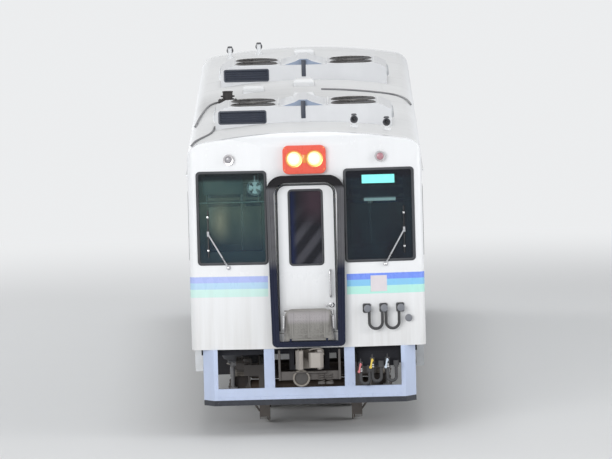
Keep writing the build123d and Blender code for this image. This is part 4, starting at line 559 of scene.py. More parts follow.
def bodyPaintMaterial():
    # white enamel with three bands round the car; inside faces are cream laminate
    k = MaterialKit("bodyEnamel")
    outX = abs(k.x).above(halfWidth - 0.046) * (k.nx * k.sign(k.x)).above(0.25)
    outY = abs(k.y).above(halfLength - 0.135) * (k.ny * k.sign(k.y)).above(0.25)
    outTop = k.nz.above(0.15) * k.z.above(up(2.6))
    outside = k.math("MAXIMUM", k.math("MAXIMUM", outX, outY), outTop)
    broad, fine = k.noise(0.7, 4.0), k.noise(26.0, 3.0)
    streak = k.noise(3.0, 5.0, 0.6, stretch=(3.2, 3.2, 0.16))
    paint = k.mix(broad.above(0.5, 0.25), shaded(bodyWhite, 0.965), bodyWhite)
    # on one side of each end the bands are painted paler: a painted highlight
    bandsWithPaintedHighlight = (abs(k.x) - 0.47).above(0.0) * (1 - outY * (k.x * k.y).above(0.0) * 0.38)
    for low, high, colour in stripes:
        paint = k.mix(k.z.between(up(low), up(high)) * bandsWithPaintedHighlight, paint, colour)
    lowGrime = k.z.below(up(1.45), 0.5)
    grime = (lowGrime * 0.34 + 0.07) * streak.above(0.5, 0.28) + lowGrime * 0.08
    paint = k.mix(grime, paint, (0.36, 0.33, 0.28))
    laminate = k.mix(fine.above(0.5, 0.3), shaded(cabinCream, 0.94), cabinCream)
    return k.surface({
        "Base Color": k.mix(outside, laminate, paint),
        "Roughness": 0.24 + grime * 0.6 + (1 - outside) * 0.25 + (fine - 0.5) * 0.05,
        "Coat Weight": 0.3, "Coat Roughness": 0.08,
        "Normal": k.bump(fine * 0.12 + k.noise(2.2, 1.0) * 2.2, 0.16, 0.006),
    })


def roofPaintMaterial():
    # pale grey roof paint, sooty along the middle and round the exhaust, with welded sheet joints
    k = MaterialKit("roofPaint")
    broad, fine = k.noise(0.9, 5.0), k.noise(34.0, 3.0)
    streak = k.noise(3.0, 5.0, 0.65, stretch=(0.8, 5.0, 0.8))
    distance = k.node("ShaderNodeVectorMath", {"operation": "DISTANCE"},
                      {0: k.position, 1: (*exhaustPlace, roofTop)}, "Value")
    soot = (1 - distance / 2.6).above(0.5, 0.5) * (0.3 + streak * 0.9)
    topFace = k.nz.above(0.75, 0.2) * k.z.above(up(3.0))
    dust = topFace * (0.16 + streak * 0.22)
    seamLine = k.math("PINGPONG", k.y + 0.42, 0.84).below(0.006, 0.003) * topFace
    ceiling = k.nz.below(-0.05) * k.z.below(up(3.32))
    paint = k.mix(broad.above(0.5, 0.3), (0.80, 0.81, 0.825), (0.86, 0.87, 0.88))
    for mask, colour in ((dust, (0.52, 0.49, 0.44)), (soot * topFace * 0.45, (0.16, 0.155, 0.15)),
                         (seamLine * 0.55, (0.30, 0.29, 0.28)), (ceiling, (0.74, 0.73, 0.69))):
        paint = k.mix(mask, paint, colour)
    return k.surface({
        "Base Color": paint, "Roughness": 0.42 + dust * 0.6 + (fine - 0.5) * 0.1,
        "Normal": k.bump(fine * 0.3 + broad - seamLine * 0.8, 0.22, 0.004),
    })


def glassMaterial(name, tint, tone=lambda k: ((0.02, 0.03, 0.03), 0.85), grime=0.06):
    # tinted glass: clear under a glossy coat that mirrors more at a slant; tone gives its dark body, which on
    # the windscreens and end door panes also holds painted light, shade and reflections
    k = MaterialKit(name)
    rough = 0.03
    film = k.noise(2.6, 5.0, 0.6).above(0.55, 0.3) * grime * 0.5 + 0.004
    base, clearness = tone(k)
    body = k.bsdf("Principled", {"Base Color": base, "Roughness": rough, "Specular IOR Level": 0.1})
    mixed = k.blend(clearness, body, k.bsdf("Transparent", {"Color": tint}))
    slant = k.node("ShaderNodeLayerWeight", {}, {"Blend": 0.5}, "Facing") ** 5 * 0.6 + 0.015
    mixed = k.blend(slant, mixed, k.bsdf("Glossy", {"Color": (0.9, 0.9, 0.9), "Roughness": rough}))
    return k.finish(k.blend(film, mixed, k.bsdf("Diffuse", {"Color": (0.42, 0.41, 0.38)})))


def screenPaintedLight(k):
    # one pane has painted light in its colour, as from a lit cab behind it: it is greener and clearer, with a
    # pale painted column; the other is nearly navy; both have a dark upper edge and darken towards the sill
    teal = (k.x * k.y).above(0.0)
    cloud = k.noise(2.2, 3.0, 0.6, stretch=(2.6, 1.0, 1.2)).above(0.5, 0.22)
    low = k.z.below(up(2.42), 0.2)
    edge = k.z.above(up(3.03), 0.02)
    column = abs(k.x).between(0.95, 1.10, 0.08) * k.z.between(up(2.38), up(2.72), 0.12) * teal
    boards = k.z.between(up(2.94), up(3.07), 0.01) + k.z.between(up(2.725), up(2.785), 0.01)
    lit = abs(k.x).between(0.67, 1.09, 0.01) * boards * (1 - teal)
    milk = k.mix(cloud, (0.012, 0.050, 0.062), (0.105, 0.150, 0.125))
    milk = k.mix(low * 0.8, milk, (0.006, 0.024, 0.062))
    milk = k.mix(column * 0.7, milk, (0.30, 0.31, 0.22))
    base = k.mix(teal, k.mix(cloud, (0.002, 0.003, 0.013), (0.006, 0.018, 0.030)), milk)
    base = k.mix(edge, base, (0.002, 0.003, 0.010))
    return base, 0.34 + teal * 0.36 - low * 0.10 - column * 0.22 - edge * (1 - lit) * 0.2 + lit * 0.5


def doorPaintedReflections(k):
    # painted light in the pane's colour: navy up the edge on one side, a mauve painted reflection in the
    # upper corner and slanting grey painted reflections below
    across = 0.0 - k.x * k.sign(k.y)
    slant = k.math("SINE", (k.z * 0.8 - across) * 26.0) * 0.5 + 0.5
    grey = k.mix(slant.above(0.55, 0.3) * k.z.below(up(2.55), 0.2), (0.010, 0.011, 0.020),
                 (0.095, 0.095, 0.115))
    base = k.mix(across.above(-0.02, 0.1) * k.z.above(up(2.58), 0.12), grey, (0.075, 0.040, 0.058))
    return k.mix(across.below(-0.135, 0.03), base, (0.004, 0.016, 0.085)), 0.5


def rubberMaterial(name, colour, dust=0.35):
    # dull rubber, chalky on upper faces
    k = MaterialKit(name)
    fine, broad = k.noise(90.0, 4.0), k.noise(4.0, 4.0)
    chalk = broad.above(0.48, 0.25) * dust + k.nz.above(0.4, 0.3) * dust * 0.6
    pale = tuple(min(1.0, c * 2.2 + 0.05) for c in colour)
    return k.surface({
        "Base Color": k.mix(chalk, colour, pale), "Roughness": 0.62 + chalk * 0.3,
        "Normal": k.bump(fine, 0.25, 0.0008),
    })


def fabricMaterial(name, colour, fleckColour):
    # a pile cloth: threads cross as sin(a) sin(b) every 2.4 mm, with flecks of a second colour
    k = MaterialKit(name)
    thread = 2 * pi / 0.0024
    weave = k.math("SINE", (k.x + k.z) * thread) * k.math("SINE", (k.y + k.z) * thread)
    fleck = k.noise(150.0, 2.0).above(0.60, 0.05)
    broad = k.noise(5.0, 4.0)
    base = k.mix(broad.above(0.5, 0.3), shaded(colour, 0.72), colour)
    return k.surface({
        "Base Color": k.mix(fleck * 0.8, base, fleckColour), "Roughness": 0.82 + broad * 0.12,
        "Sheen Weight": 0.25, "Normal": k.bump(weave + fleck * 0.5, 0.3, 0.0006),
    })


def metalMaterial(name, colour, rough, dirtAmount=0.25):
    # rolled or brushed metal with a drawn grain, water marks and some dirt
    k = MaterialKit(name)
    grain = k.noise(22.0, 3.0, 0.5, stretch=(1, 1, 30))
    dirt = k.noise(5.0, 5.0, 0.65).above(0.56, 0.2) * dirtAmount
    return k.surface({
        "Base Color": k.mix(dirt, colour, (0.2, 0.18, 0.15)), "Metallic": 1 - dirt,
        "Roughness": rough + (grain - 0.5) * 0.2 + dirt * 0.4, "Normal": k.bump(grain, 0.12, 0.0006),
    })


# Places that the finishes and the pieces share
exhaustLow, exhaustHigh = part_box("exhaust_stack")
exhaustPlace = ((exhaustLow.x + exhaustHigh.x) / 2, (exhaustLow.y + exhaustHigh.y) / 2)
roofUnit = {"stations": (-6.15, 2.25), "half": 0.75, "side": 1.07, "top": roofTop + 0.19,
            "humpTop": roofTop + 0.265, "fanX": 0.61, "fanY": 0.36, "fanRadius": 0.25}
wiper = {"pivot": (0.935, up(1.992)), "tip": (1.17, up(2.40))}
lamps = {"offset": 0.122, "height": up(3.28), "warm": 0.054, "front": -halfLength - 0.06, "tailOffset": 0.90,
         "tailHeight": up(3.285), "tailDepth": 0.046}
wheelRadius = 0.405
axleHeight = railTop + wheelRadius
axleY = [sum(corner.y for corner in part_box("wheelset_front_" + number)) / 2 for number in "12"]
bogieCentre = -sum(axleY) / 2
wheelbase = axleY[1] - axleY[0]


def unitPaintedShade(k):
    # painted shade: dark louvres at two diagonal corners of each unit, standing for the shade in their slots,
    # and blue-grey ends of its hump, painted as shaded faces
    (first, second), half, top = roofUnit["stations"], roofUnit["half"], roofUnit["top"]
    shifted = k.y - (first + second) / 2
    along = shifted - (second - first) / 2 * k.sign(shifted)
    louvre = (k.z.between(top - 0.187, top - 0.052) * abs(k.x).between(0.465, 1.015)
              * abs(along).above(half - 0.0315) * (k.x * along).above(0.0))
    hump = abs(along).above(half - 0.0415) * k.z.above(top + 0.002)
    return [(louvre, (0.030, 0.040, 0.070)), (hump, (0.27, 0.33, 0.44))]


def gangwayPatches(k):
    # the arch is black, the posts grey, and the lower half nearly navy
    return [(k.z.above(up(2.94), 0.02), (0.006, 0.005, 0.007)),
            (k.z.below(up(2.02), 0.06), (0.008, 0.012, 0.034))]


def wiperPatches(k):
    # the blade is black: near its line across the end wall and close to the glass
    outward = (abs(k.x) - endFlatHalf) * sin(facetAngle) + (abs(k.y) - halfLength) * cos(facetAngle)
    return [(abs(abs(k.x) - wiper["tip"][0]).below(0.014) * outward.below(0.010), (0.012, 0.012, 0.014))]


def plateSheenAndLines(k):
    # a lighter patch in the plate's middle, a painted sheen, and a dark line up each side
    return [(abs(k.x).below(0.245, 0.02) * k.z.between(up(1.33), up(1.45), 0.03), (0.30, 0.275, 0.30)),
            (abs(k.x).between(0.272, 0.32) * k.z.above(up(1.09)), (0.045, 0.042, 0.045))]


def wheelMaterial():
    # brown patina on the wheel, with the tread and flange polished by the rail
    k = MaterialKit("wheelSteel")
    fine = k.noise(40.0, 4.0)
    rusty = k.mix(k.noise(6.0, 5.0).above(0.5, 0.3), (0.050, 0.038, 0.032), (0.095, 0.065, 0.047))
    # the wheelsets differ only in Y, so the distance from each axle folds to the four places
    folded = abs(abs(k.y) - bogieCentre) - wheelbase / 2
    tread = k.far(folded, k.z - axleHeight).above(wheelRadius - 0.012) * abs(k.nx).below(0.6)
    return k.surface({
        "Base Color": k.mix(tread, rusty, (0.52, 0.51, 0.50)), "Metallic": 0.35 + tread * 0.6,
        "Roughness": 0.62 - tread * 0.38 + (fine - 0.5) * 0.2, "Normal": k.bump(fine, 0.35, 0.0015),
    })


def lampGlassMaterial():
    # white in the middle and warm at the rim, by the distance from each lamp's axis
    k = MaterialKit("litLamp")
    rim = k.far(abs(k.x) - lamps["offset"], k.z - lamps["height"]).above(lamps["warm"], 0.012)
    return k.surface({
        "Base Color": (1.0, 0.86, 0.60), "Emission Color": k.mix(rim, (1.0, 0.93, 0.78), (1.0, 0.50, 0.12)),
        "Emission Strength": 1.15, "Roughness": 0.1,
    })


def glowMaterial(name, scale, low, high, rough, strength, glow=None):
    # a faintly clouded surface that glows, in its own two colours unless another is given
    k = MaterialKit(name)
    cloud = k.mix(k.noise(scale, 2.0 if glow is None else 3.0), low, high)
    return k.surface({
        "Base Color": (0.35, 0.78, 0.76) if glow is None else cloud, "Roughness": rough,
        "Emission Strength": strength, "Emission Color": glow or cloud,
    })


enamel = bodyPaintMaterial()
roofPaint = roofPaintMaterial()
windowGlass = glassMaterial("windowGlass", (0.82, 0.87, 0.87))
doorGlass = glassMaterial("doorGlass", (0.42, 0.46, 0.56), doorPaintedReflections, 0.03)
screenGlass = glassMaterial("screenGlass", (0.70, 0.84, 0.84), screenPaintedLight, 0.03)
wheelSteel = wheelMaterial()
lampGlass = lampGlassMaterial()
litDisplay = glowMaterial("litDisplay", 18.0, (0.25, 0.80, 0.76), (0.46, 0.92, 0.86), 0.25, 2.4)
glowingWhite = glowMaterial("glowingWhite", 30.0, (0.80, 0.82, 0.83), (0.90, 0.92, 0.93), 0.3, 0.55,
                            (0.82, 0.92, 0.95))
blackRubber = rubberMaterial("blackRubber", (0.035, 0.037, 0.042))
hoseRubber = rubberMaterial("hoseRubber", (0.028, 0.028, 0.03), 0.5)
anodised = metalMaterial("anodisedFrames", (0.62, 0.64, 0.66), 0.34)
brushed = metalMaterial("brushedRails", (0.72, 0.72, 0.73), 0.22, 0.08)
chrome = metalMaterial("chromeRings", (0.62, 0.60, 0.61), 0.22, 0.08)
# orange headlamp rings: a painted reflection of the lamps' warm light on chrome
warmRings = metalMaterial("warmRings", (0.86, 0.46, 0.16), 0.30, 0.05)
seatCloth = fabricMaterial("seatMoquette", (0.035, 0.075, 0.20), (0.10, 0.22, 0.42))
driverCloth = fabricMaterial("driverCloth", (0.05, 0.055, 0.065), (0.11, 0.12, 0.14))
# Paints: name, colour, dust, roughness, then what differs from the usual
# black paint under the car and on the bogies, darkened further with a navy cast as painted shade
frameBlackAndShade = dirtyPaint("underframePaint", (0.016, 0.018, 0.026), 0.24, 0.6, dust=(0.10, 0.088, 0.078),
                        specular=0.2)
bogiePaint = dirtyPaint("bogiePaint", (0.030, 0.031, 0.037), 0.34, 0.62, dust=(0.145, 0.108, 0.078),
                        wear=0.25, specular=0.2)
enginePaint = dirtyPaint("enginePaint", (0.14, 0.17, 0.17), 0.6, 0.4, dust=(0.05, 0.045, 0.04))
skirtPaint = dirtyPaint("skirtPaint", (0.56, 0.65, 0.86), 0.16, 0.32, dust=(0.34, 0.31, 0.28), coat=0.2,
                        mottle=0.06, specular=0.3,
                        patches=lambda k: [(k.z.below(up(0.402)), (0.008, 0.008, 0.010))])
lampPaint = dirtyPaint("orangeRedPaint", (0.86, 0.10, 0.055), 0.06, 0.28, coat=0.4, mottle=0.06)
blackPaint = dirtyPaint("blackPaint", (0.03, 0.03, 0.034), 0.2, 0.42)
plateSteel = dirtyPaint("footplateSteel", (0.120, 0.114, 0.104), 0.10, 0.55, metal=0.1, wear=0.4,
                        bare=(0.40, 0.39, 0.37), dust=(0.30, 0.27, 0.23), patches=plateSheenAndLines)
couplerSteel = dirtyPaint(
    "couplerSteel", (0.060, 0.053, 0.047), 0.28, 0.6, dust=(0.22, 0.165, 0.12), metal=0.15, wear=0.6,
    specular=0.3, bare=(0.42, 0.39, 0.35),
    # the lighter middle of each coupler head is a painted highlight
    patches=lambda k: [(abs(k.x).below(0.16, 0.02) * abs(k.y).above(halfLength + 0.12), (0.33, 0.31, 0.30))],
)
stackSteel = dirtyPaint("exhaustSteel", (0.06, 0.055, 0.055), 0.2, 0.6, metal=0.5, dust=(0.02, 0.02, 0.02))
deskPlastic = dirtyPaint("deskPlastic", (0.13, 0.16, 0.15), 0.05, 0.5, scale=12.0)
innerPanel = dirtyPaint("innerPanel", cabinCream, 0.03, 0.42, mottle=0.05)
floorVinyl = dirtyPaint("floorVinyl", (0.17, 0.175, 0.17), 0.15, 0.5, scale=30.0)
louvreSlate = dirtyPaint("louvreSlate", (0.045, 0.055, 0.080), 0.12, 0.45)
conduitGrey = dirtyPaint("conduitGrey", (0.20, 0.205, 0.22), 0.2, 0.45)
hornPaint = dirtyPaint("hornPaint", (0.085, 0.088, 0.10), 0.12, 0.4)
rustyPipe = dirtyPaint("rustyPipe", (0.13, 0.070, 0.042), 0.6, 0.8, dust=(0.27, 0.145, 0.075), mottle=0.3,
                       scale=11.0, peel=0.5)
boardGlass = dirtyPaint("boardGlass", (0.012, 0.013, 0.016), 0.03, 0.10, coat=0.8)
socketGrey = dirtyPaint("socketGrey", (0.20, 0.21, 0.235), 0.12, 0.45)
unitPaint = dirtyPaint("roofUnitPaint", (0.72, 0.73, 0.75), 0.22, 0.42, dust=(0.42, 0.39, 0.35), dustTop=1.0,
                       mottle=0.06, patches=unitPaintedShade)
gangwayPaint = dirtyPaint("gangwayPaint", (0.115, 0.115, 0.125), 0.05, 0.5, dust=(0.20, 0.19, 0.17),
                          specular=0.22, patches=gangwayPatches)
wiperPaint = dirtyPaint("wiperPaint", (0.50, 0.51, 0.53), 0.05, 0.4, patches=wiperPatches)
tailLamp = dirtyPaint("tailLampRing", (0.62, 0.60, 0.60), 0.06, 0.3)
redLens = dirtyPaint("redLens", (0.42, 0.02, 0.03), 0.02, 0.12, coat=0.8, mottle=0.2, scale=40.0)
# pink tail lenses; those on one side of each end are painted grey as a painted reflection
fadedLens = dirtyPaint("fadedLens", (0.50, 0.24, 0.28), 0.05, 0.2, coat=0.6, scale=40.0,
                       patches=lambda k: [((k.x * k.y).above(0.0), (0.33, 0.32, 0.34))])
amberBar = dirtyPaint("amberBar", (0.92, 0.30, 0.05), 0.02, 0.25, coat=0.5)
whitePlastic = dirtyPaint("whitePlastic", (0.78, 0.79, 0.80), 0.05, 0.35)
greyBlind = dirtyPaint("greyBlind", (0.30, 0.31, 0.33), 0.03, 0.4, scale=20.0)
plateEnamel = dirtyPaint("plateEnamel", (0.82, 0.76, 0.79), 0.05, 0.3, coat=0.3)

# Each CAD node takes the finish whose key its name starts with, the longest key first
finishes = {
    frameBlackAndShade: "underframe radiator fuel_tank air_reservoirs equipment_boxes", floorVinyl: "floor",
    anodised: "door_sills window_frames", enamel: "side_wall cab_sides end_wall side_door end_door",
    roofPaint: "roof", windowGlass: "side_windows side_door_glass", screenGlass: "windscreens",
    doorGlass: "end_door_glass", gangwayPaint: "gangway_frames", lampPaint: "lamp_housings",
    lampGlass: "headlamp_lenses", tailLamp: "tail_lamps", wiperPaint: "wipers", skirtPaint: "skirts",
    hoseRubber: "jumper_cables air_hoses", unitPaint: "roof_units", stackSteel: "exhaust_stack",
    enginePaint: "engine transmission final_drive", deskPlastic: "cab_desks", innerPanel: "cab_bulkheads",
    seatCloth: "seats", brushed: "handrails", bogiePaint: "bogie_frame axle_boxes",
    blackRubber: "air_springs",
    wheelSteel: "wheelset", plateSteel: "footplate", couplerSteel: "coupler",
}
finishOf = {start: finish for finish, starts in finishes.items() for start in starts.split()}
for name, node in nodes.items():
    key = max((start for start in finishOf if name.startswith(start)), key=len)
    node.data.materials.clear()
    node.data.materials.append(finishOf[key])
print("stage: finishes given to", len(nodes), "nodes")


# Pieces of the end walls, made once for the photographed end and turned round for the other
# a bead with a flat back, a sloping outer edge and a rounded lip; side is outwards from the ring
beadProfile = np.array([(-0.016, 0), (0.014, 0), (0.014, 0.006), (0.008, 0.011), (-0.006, 0.013),
                        (-0.016, 0.008)])
windscreen = {"inner": 0.475, "outer": 1.285, "bottom": up(2.04), "top": up(3.13), "corner": 0.035}


def windscreenGaskets():
    w = windscreen
    u0, u1 = alongFacet(w["inner"]), alongFacet(w["outer"])
    width, height = u1 - u0, w["top"] - w["bottom"]
    centre = ((u0 + u1) / 2, (w["bottom"] + w["top"]) / 2)
    ring = ringOn(width + 0.008, height + 0.008, w["corner"], beadProfile, centre)
    rib = ringOn(width - 0.012, height - 0.012, w["corner"], beadProfile * 0.5 - [0, 0.009], centre)
    return fourPlaces(onFacet(joined(ring, rib)))


makePiece("windscreenGaskets", windscreenGaskets(), blackRubber)
doorway = {"half": 0.354, "windowHalf": 0.196, "windowBottom": up(2.01), "windowTop": up(2.90),
           "face": -halfLength + 0.016, "bottom": up(1.198), "top": up(2.977), "corner": 0.12,
           "sealInset": 0.012}


def endDoorSeals():
    # a gasket round the glass, and a soft strip round the leaf with its two top corners rounded
    d = doorway
    glass = ringBetween(2 * d["windowHalf"] + 0.006, d["windowBottom"] - 0.003, d["windowTop"] + 0.003, 0.04,
                        beadProfile * 0.8)
    half, corner = d["half"] - d["sealInset"], d["corner"] - d["sealInset"]
    right = arcPoints(corner, 8) + [half - corner, d["top"] - d["sealInset"] - corner]
    foot = d["bottom"] + 0.02
    arch = flat(np.vstack([(half, foot), right, right[::-1] * [-1, 1], (-half, foot)]))
    strip = sweptAlong(arch, rectProfile(-0.009, 0.009, 0.0, 0.009))
    return outwardY(joined(glass, strip), (0, d["face"], 0))


def endDoorHardware():
    # a kick plate with its screws, a pull rail on two stems, a lever on a round rose and a keyhole cover
    plate = roundBox((-0.31, up(1.235), 0), (0.31, up(1.40), 0.004), 0.002, 1)
    screws = copiesAt(stud(0.007, 0.007, 0.003, 0.0055, 12),
                      crossing((-0.295, -0.1, 0.1, 0.295), (up(1.25), up(1.385)), 0.0035))
    railX, leverX, leverZ = 0.272, 0.285, up(1.52)
    rail = bentTube([(railX, up(z), d) for z, d in (
        (1.62, 0.0), (1.63, 0.05), (1.70, 0.056), (1.86, 0.056), (1.93, 0.05), (1.94, 0.0))], 24, 0.011)
    rose = lathe([(0, 0), (0.032, 0), (0.032, 0.006), (0.02, 0.012), (0.02, 0.03), (0, 0.03)], 20)
    lever = bentTube([(leverX, leverZ, 0.028), (0.27, leverZ, 0.034), (0.20, up(1.515), 0.034)], 8, 0.009)
    cover = moved(roundBox((-0.015, -0.03, 0), (0.015, 0.03, 0.008), 0.004), leverX, up(1.44))
    whole = joined(plate, screws, rail, moved(rose, leverX, leverZ), lever, cover)
    return outwardY(whole, (0, doorway["face"], 0))


for end, turn in carEnds:
    body = "end_door_" + end
    makePiece("endDoorSeals_" + end, turn(endDoorSeals()), blackRubber, body)
    makePiece("endDoorHardware_" + end, turn(endDoorHardware()), brushed, body)

gangway = {"depth": 0.112, "halfTop": 0.468, "halfBottom": 0.436, "top": up(3.085), "bottom": up(1.035),
           "arch": 0.19, "ring": 0.088, "foot": 0.06}


def gangwayPath(inset):
    # the outline of the gangway's face, wider at the top, drawn in by the inset, in X and Y
    g = gangway
    arch, foot = g["arch"] - inset * 0.5, max(g["foot"] - inset * 0.5, 0.004)
    topRight = arcPoints(arch, 9) + [g["halfTop"] - inset - arch, g["top"] - inset - arch]
    low = g["bottom"] + inset * 0.6 + foot
    footRight = arcPoints(foot, 9, -pi / 2) + [g["halfBottom"] - inset - foot, low]
    right = np.concatenate([footRight, topRight])
    return flat(np.concatenate([right, right[::-1] * [-1, 1]]))


def gangwayTrim():
    # a bright strip on the face plate's inner edge and a rubbing bar round its middle
    strip = sweptAlong(gangwayPath(gangway["ring"] - 0.006), rectProfile(-0.005, 0.005, -0.02, 0.006),
                       closed=True)
    barProfile = [(-0.012, 0), (0.012, 0), (0.009, 0.007), (-0.009, 0.007)]
    return joined(strip, sweptAlong(gangwayPath(0.03), barProfile, closed=True))


def pathPoints(path, spacing):
    # places spaced evenly round a closed path, by the length along it
    closedPath = np.vstack([path, path[:1]])
    run = np.concatenate([[0], np.cumsum(np.linalg.norm(np.diff(closedPath, axis=0), axis=1))])
    at = np.arange(0, run[-1], run[-1] / max(1, round(run[-1] / spacing)))
    return np.column_stack([np.interp(at, run, closedPath[:, k]) for k in range(3)])


gangwayBolts = copiesAt(boltShape(), pathPoints(gangwayPath(0.062), 0.17))
for name, shape, slot in (("Trim", gangwayTrim(), "black_paint"), ("Bolts", gangwayBolts, "dark_steel")):
    whole = bothEnds(outwardY(shape, (0, -halfLength - gangway["depth"], 0)))
    makePiece("gangway" + name, whole, gangwayPaint)

footplate = {"lean": radians(4.0), "hinge": up(1.118), "axisY": -halfLength - gangway["depth"] + 0.021}


def onFootplate(shape):
    # drawn upright on the hinge line with Z towards the viewer, then leaned back like the plate
    s, c = sin(footplate["lean"]), cos(footplate["lean"])
    return placed(shape, (0, footplate["axisY"], footplate["hinge"]), (1, 0, 0), (0, s, c), (0, -c, s))


def footplateTread():
    # the raised tread panel: rows of small bars that lean alternately left and right, in a thin frame
    frame = ringOn(0.44, 0.25, 0.03, rectProfile(-0.006, 0.006, 0, 0.0035), (0, 0.19))
    bar = stud(0.006, 0.0045, 0.003, 0.0035, 10)
    left = spun((bar[0] * [2.4, 0.8, 1.0], bar[1]), 0.8)
    i, j = (k.ravel() for k in np.meshgrid(np.arange(13), np.arange(7), indexing="ij"))
    spots = np.column_stack([(i - 6) * 0.032, 0.085 + j * 0.035, np.zeros(i.size)])
    even = (i + j) % 2 == 0
    pattern = joined(copiesAt(left, spots[even]), copiesAt(mirroredX(left), spots[~even]))
    edge = roundBox((-0.285, 0.338, -0.002), (0.285, 0.356, 0.005), 0.002, 1)
    return onFootplate(moved(joined(frame, pattern, edge), z=0.006))


for end, turn in carEnds:
    makePiece("footplateTread_" + end, turn(footplateTread()), plateSteel, "footplate_" + end)


def lampBezels():
    # a stepped chrome ring round each headlamp, coloured orange as a painted reflection of the lamp's warm
    # light, and a screwed strip between them
    ring = lathe([(0.083, -0.02), (0.089, -0.004), (0.089, 0.004), (0.101, 0.006), (0.104, 0.0),
                  (0.104, -0.006)], 40)
    screws = copiesAt(stud(0.006, 0.006, 0.003, 0.005, 10), crossing((-0.235, 0.235), (-0.13, 0.13)))
    both = joined(bothSides(moved(ring, lamps["offset"])), screws)
    return bothEnds(outwardY(both, (0, lamps["front"], lamps["height"])))


def tailLampShape(profile):
    ring = moved(lathe(profile, 28), alongFacet(lamps["tailOffset"]), lamps["tailHeight"], lamps["tailDepth"])
    return fourPlaces(onFacet(ring))


tailRing = [(0.044, 0.001), (0.044, 0.008), (0.060, 0.010), (0.064, 0.003), (0.064, -0.02), (0.0605, -0.02),
            (0.0605, 0.0)]
tailLens = [(0, 0.010), (0.02, 0.009), (0.038, 0.005), (0.044, 0.0), (0.044, -0.004), (0, -0.004)]
lampBar = moved(roundBox((-0.021, -0.008, -0.052), (0.021, 0.004, 0.052), 0.008), 0, lamps["front"],
                lamps["height"])
makePiece("headlampBezels", lampBezels(), warmRings)
makePiece("headlampBars", bothEnds(lampBar), amberBar)
makePiece("tailLampRings", tailLampShape(tailRing), chrome)
makePiece("tailLampLenses", tailLampShape(tailLens), fadedLens)


def wiperTrim():
    # a pivot cap, a spring over the arm and two clips that hold the blade
    u0, u1 = alongFacet(wiper["pivot"][0]), alongFacet(wiper["tip"][0])
    v0, v1 = wiper["pivot"][1], wiper["tip"][1]
    cap = moved(lathe([(0, 0), (0.020, 0), (0.018, 0.010), (0.008, 0.016), (0, 0.016)], 20), u0, v0, 0.026)
    t = np.linspace(0, 1, 120)
    a = t * 2 * pi * 14
    along = np.array([u1 - u0, v1 - v0, 0]) / hypot(u1 - u0, v1 - v0)
    across = np.array([along[1], -along[0], 0])
    coil = (u0, v0, 0.031) + along * (0.05 + 0.10 * t)[:, None] + across * (0.007 * np.cos(a))[:, None]
    coil[:, 2] += 0.007 * np.sin(a)
    clip = roundBox((-0.012, -0.012, 0), (0.012, 0.012, 0.014), 0.003)
    clips = copiesAt(clip, crossing([u1], (v1 - 0.2, v1 + 0.2), 0.006))
    return fourPlaces(onFacet(joined(cap, tubeAlong(coil, 0.0017, 6), clips)))


makePiece("wiperTrim", wiperTrim(), brushed)


# Behind the windscreens: a lit blank display, a bar and a sun blind on each side, and a small fan; the fan
# and the blind rollers glow as painted light, though they are no lamps
def cabBars():
    y, z = 0.30, up(2.755)
    rod = tubeAlong([(0.44, y, z), (1.27, y, z)], 0.013, 12)
    hanger = tubeAlong([(1.18, y, z), (1.18, y - 0.02, up(3.20))], 0.008, 8)
    return bothSides(joined(rod, hanger, moved(hanger, x=-0.62)))


def sunBlinds():
    right = roundBox((0.66, 0.20, up(2.79)), (1.12, 0.212, up(2.90)), 0.004)
    return joined(right, roundBox((-1.22, 0.20, up(2.86)), (-0.74, 0.212, up(3.08)), 0.004))


def cabFan():
    # a cage of rings round a hub with four twisted blades
    wires = ((0.09, 0.0), (0.075, 0.018), (0.05, 0.028), (0.025, 0.033))
    rings = [wireRing(r, d, 0.002, 28) for r, d in wires]
    u, v = np.meshgrid(np.linspace(0.015, 0.07, 5), np.linspace(-0.5, 0.5, 5), indexing="ij")
    top = np.stack([u * np.cos(v), u * np.sin(v), 0.010 + v * 0.02], -1)
    blade = joined(gridShape(top), (gridShape(top - [0, 0, 0.002])[0], gridShape(top)[1][:, ::-1]))
    hub = lathe([(0, -0.04), (0.03, -0.04), (0.03, 0.0), (0.018, 0.02), (0, 0.022)], 20)
    stem = tubeAlong([(0, 0, -0.03), (0, 0.06, -0.05), (0, 0.14, -0.05)], 0.009)
    return outwardY(joined(*rings, spunRound(blade, 4), hub, stem), (-0.60, 0.22, up(2.93)))


def blankPlate():
    # a bare enamelled plate across the bands to the right of the door
    plate = roundBox((alongFacet(0.755), up(1.665), -0.002), (alongFacet(0.950), up(1.858), 0.003), 0.002, 1)
    return moved(onFacet(plate), y=halfLength)


displayBox = roundBox((0.62, 0.165, up(2.925)), (1.13, 0.30, up(3.085)), 0.012)
displayFace = roundBox((0.68, 0.160, up(2.953)), (1.07, 0.168, up(3.057)), 0.003)
rolledBlind = outwardX(lathe([(0.014, 0), (0.024, 0.004), (0.024, 0.376), (0.014, 0.38)], 18),
                       (0.70, 0.30, up(2.755)))
for name, shape, material, slot in (
    ("cabBars", cabBars(), brushed, "bright_steel"),
    ("displayBoxes", displayBox, blackPaint, "black_paint"),
    ("displayFaces", displayFace, litDisplay, "lamp_glass"),
    ("sunBlinds", sunBlinds(), greyBlind, "black_paint"),
    # the fan and the rolled blind glow: painted light, they are no lamps
    ("cabFans", cabFan(), glowingWhite, "inner_panel"),
    ("blindRollers", rolledBlind, glowingWhite, "inner_panel"),
    ("blankPlates", blankPlate(), plateEnamel, "body_paint"),
):
    makePiece(name, bothEnds(moved(shape, y=-halfLength)), material)
print("stage: end walls fitted")


# Hoses, sockets, coupler and guard
jumpers = {"offsets": (0.70, 0.90, 1.10), "height": up(1.47), "spare": (1.195, up(1.34))}


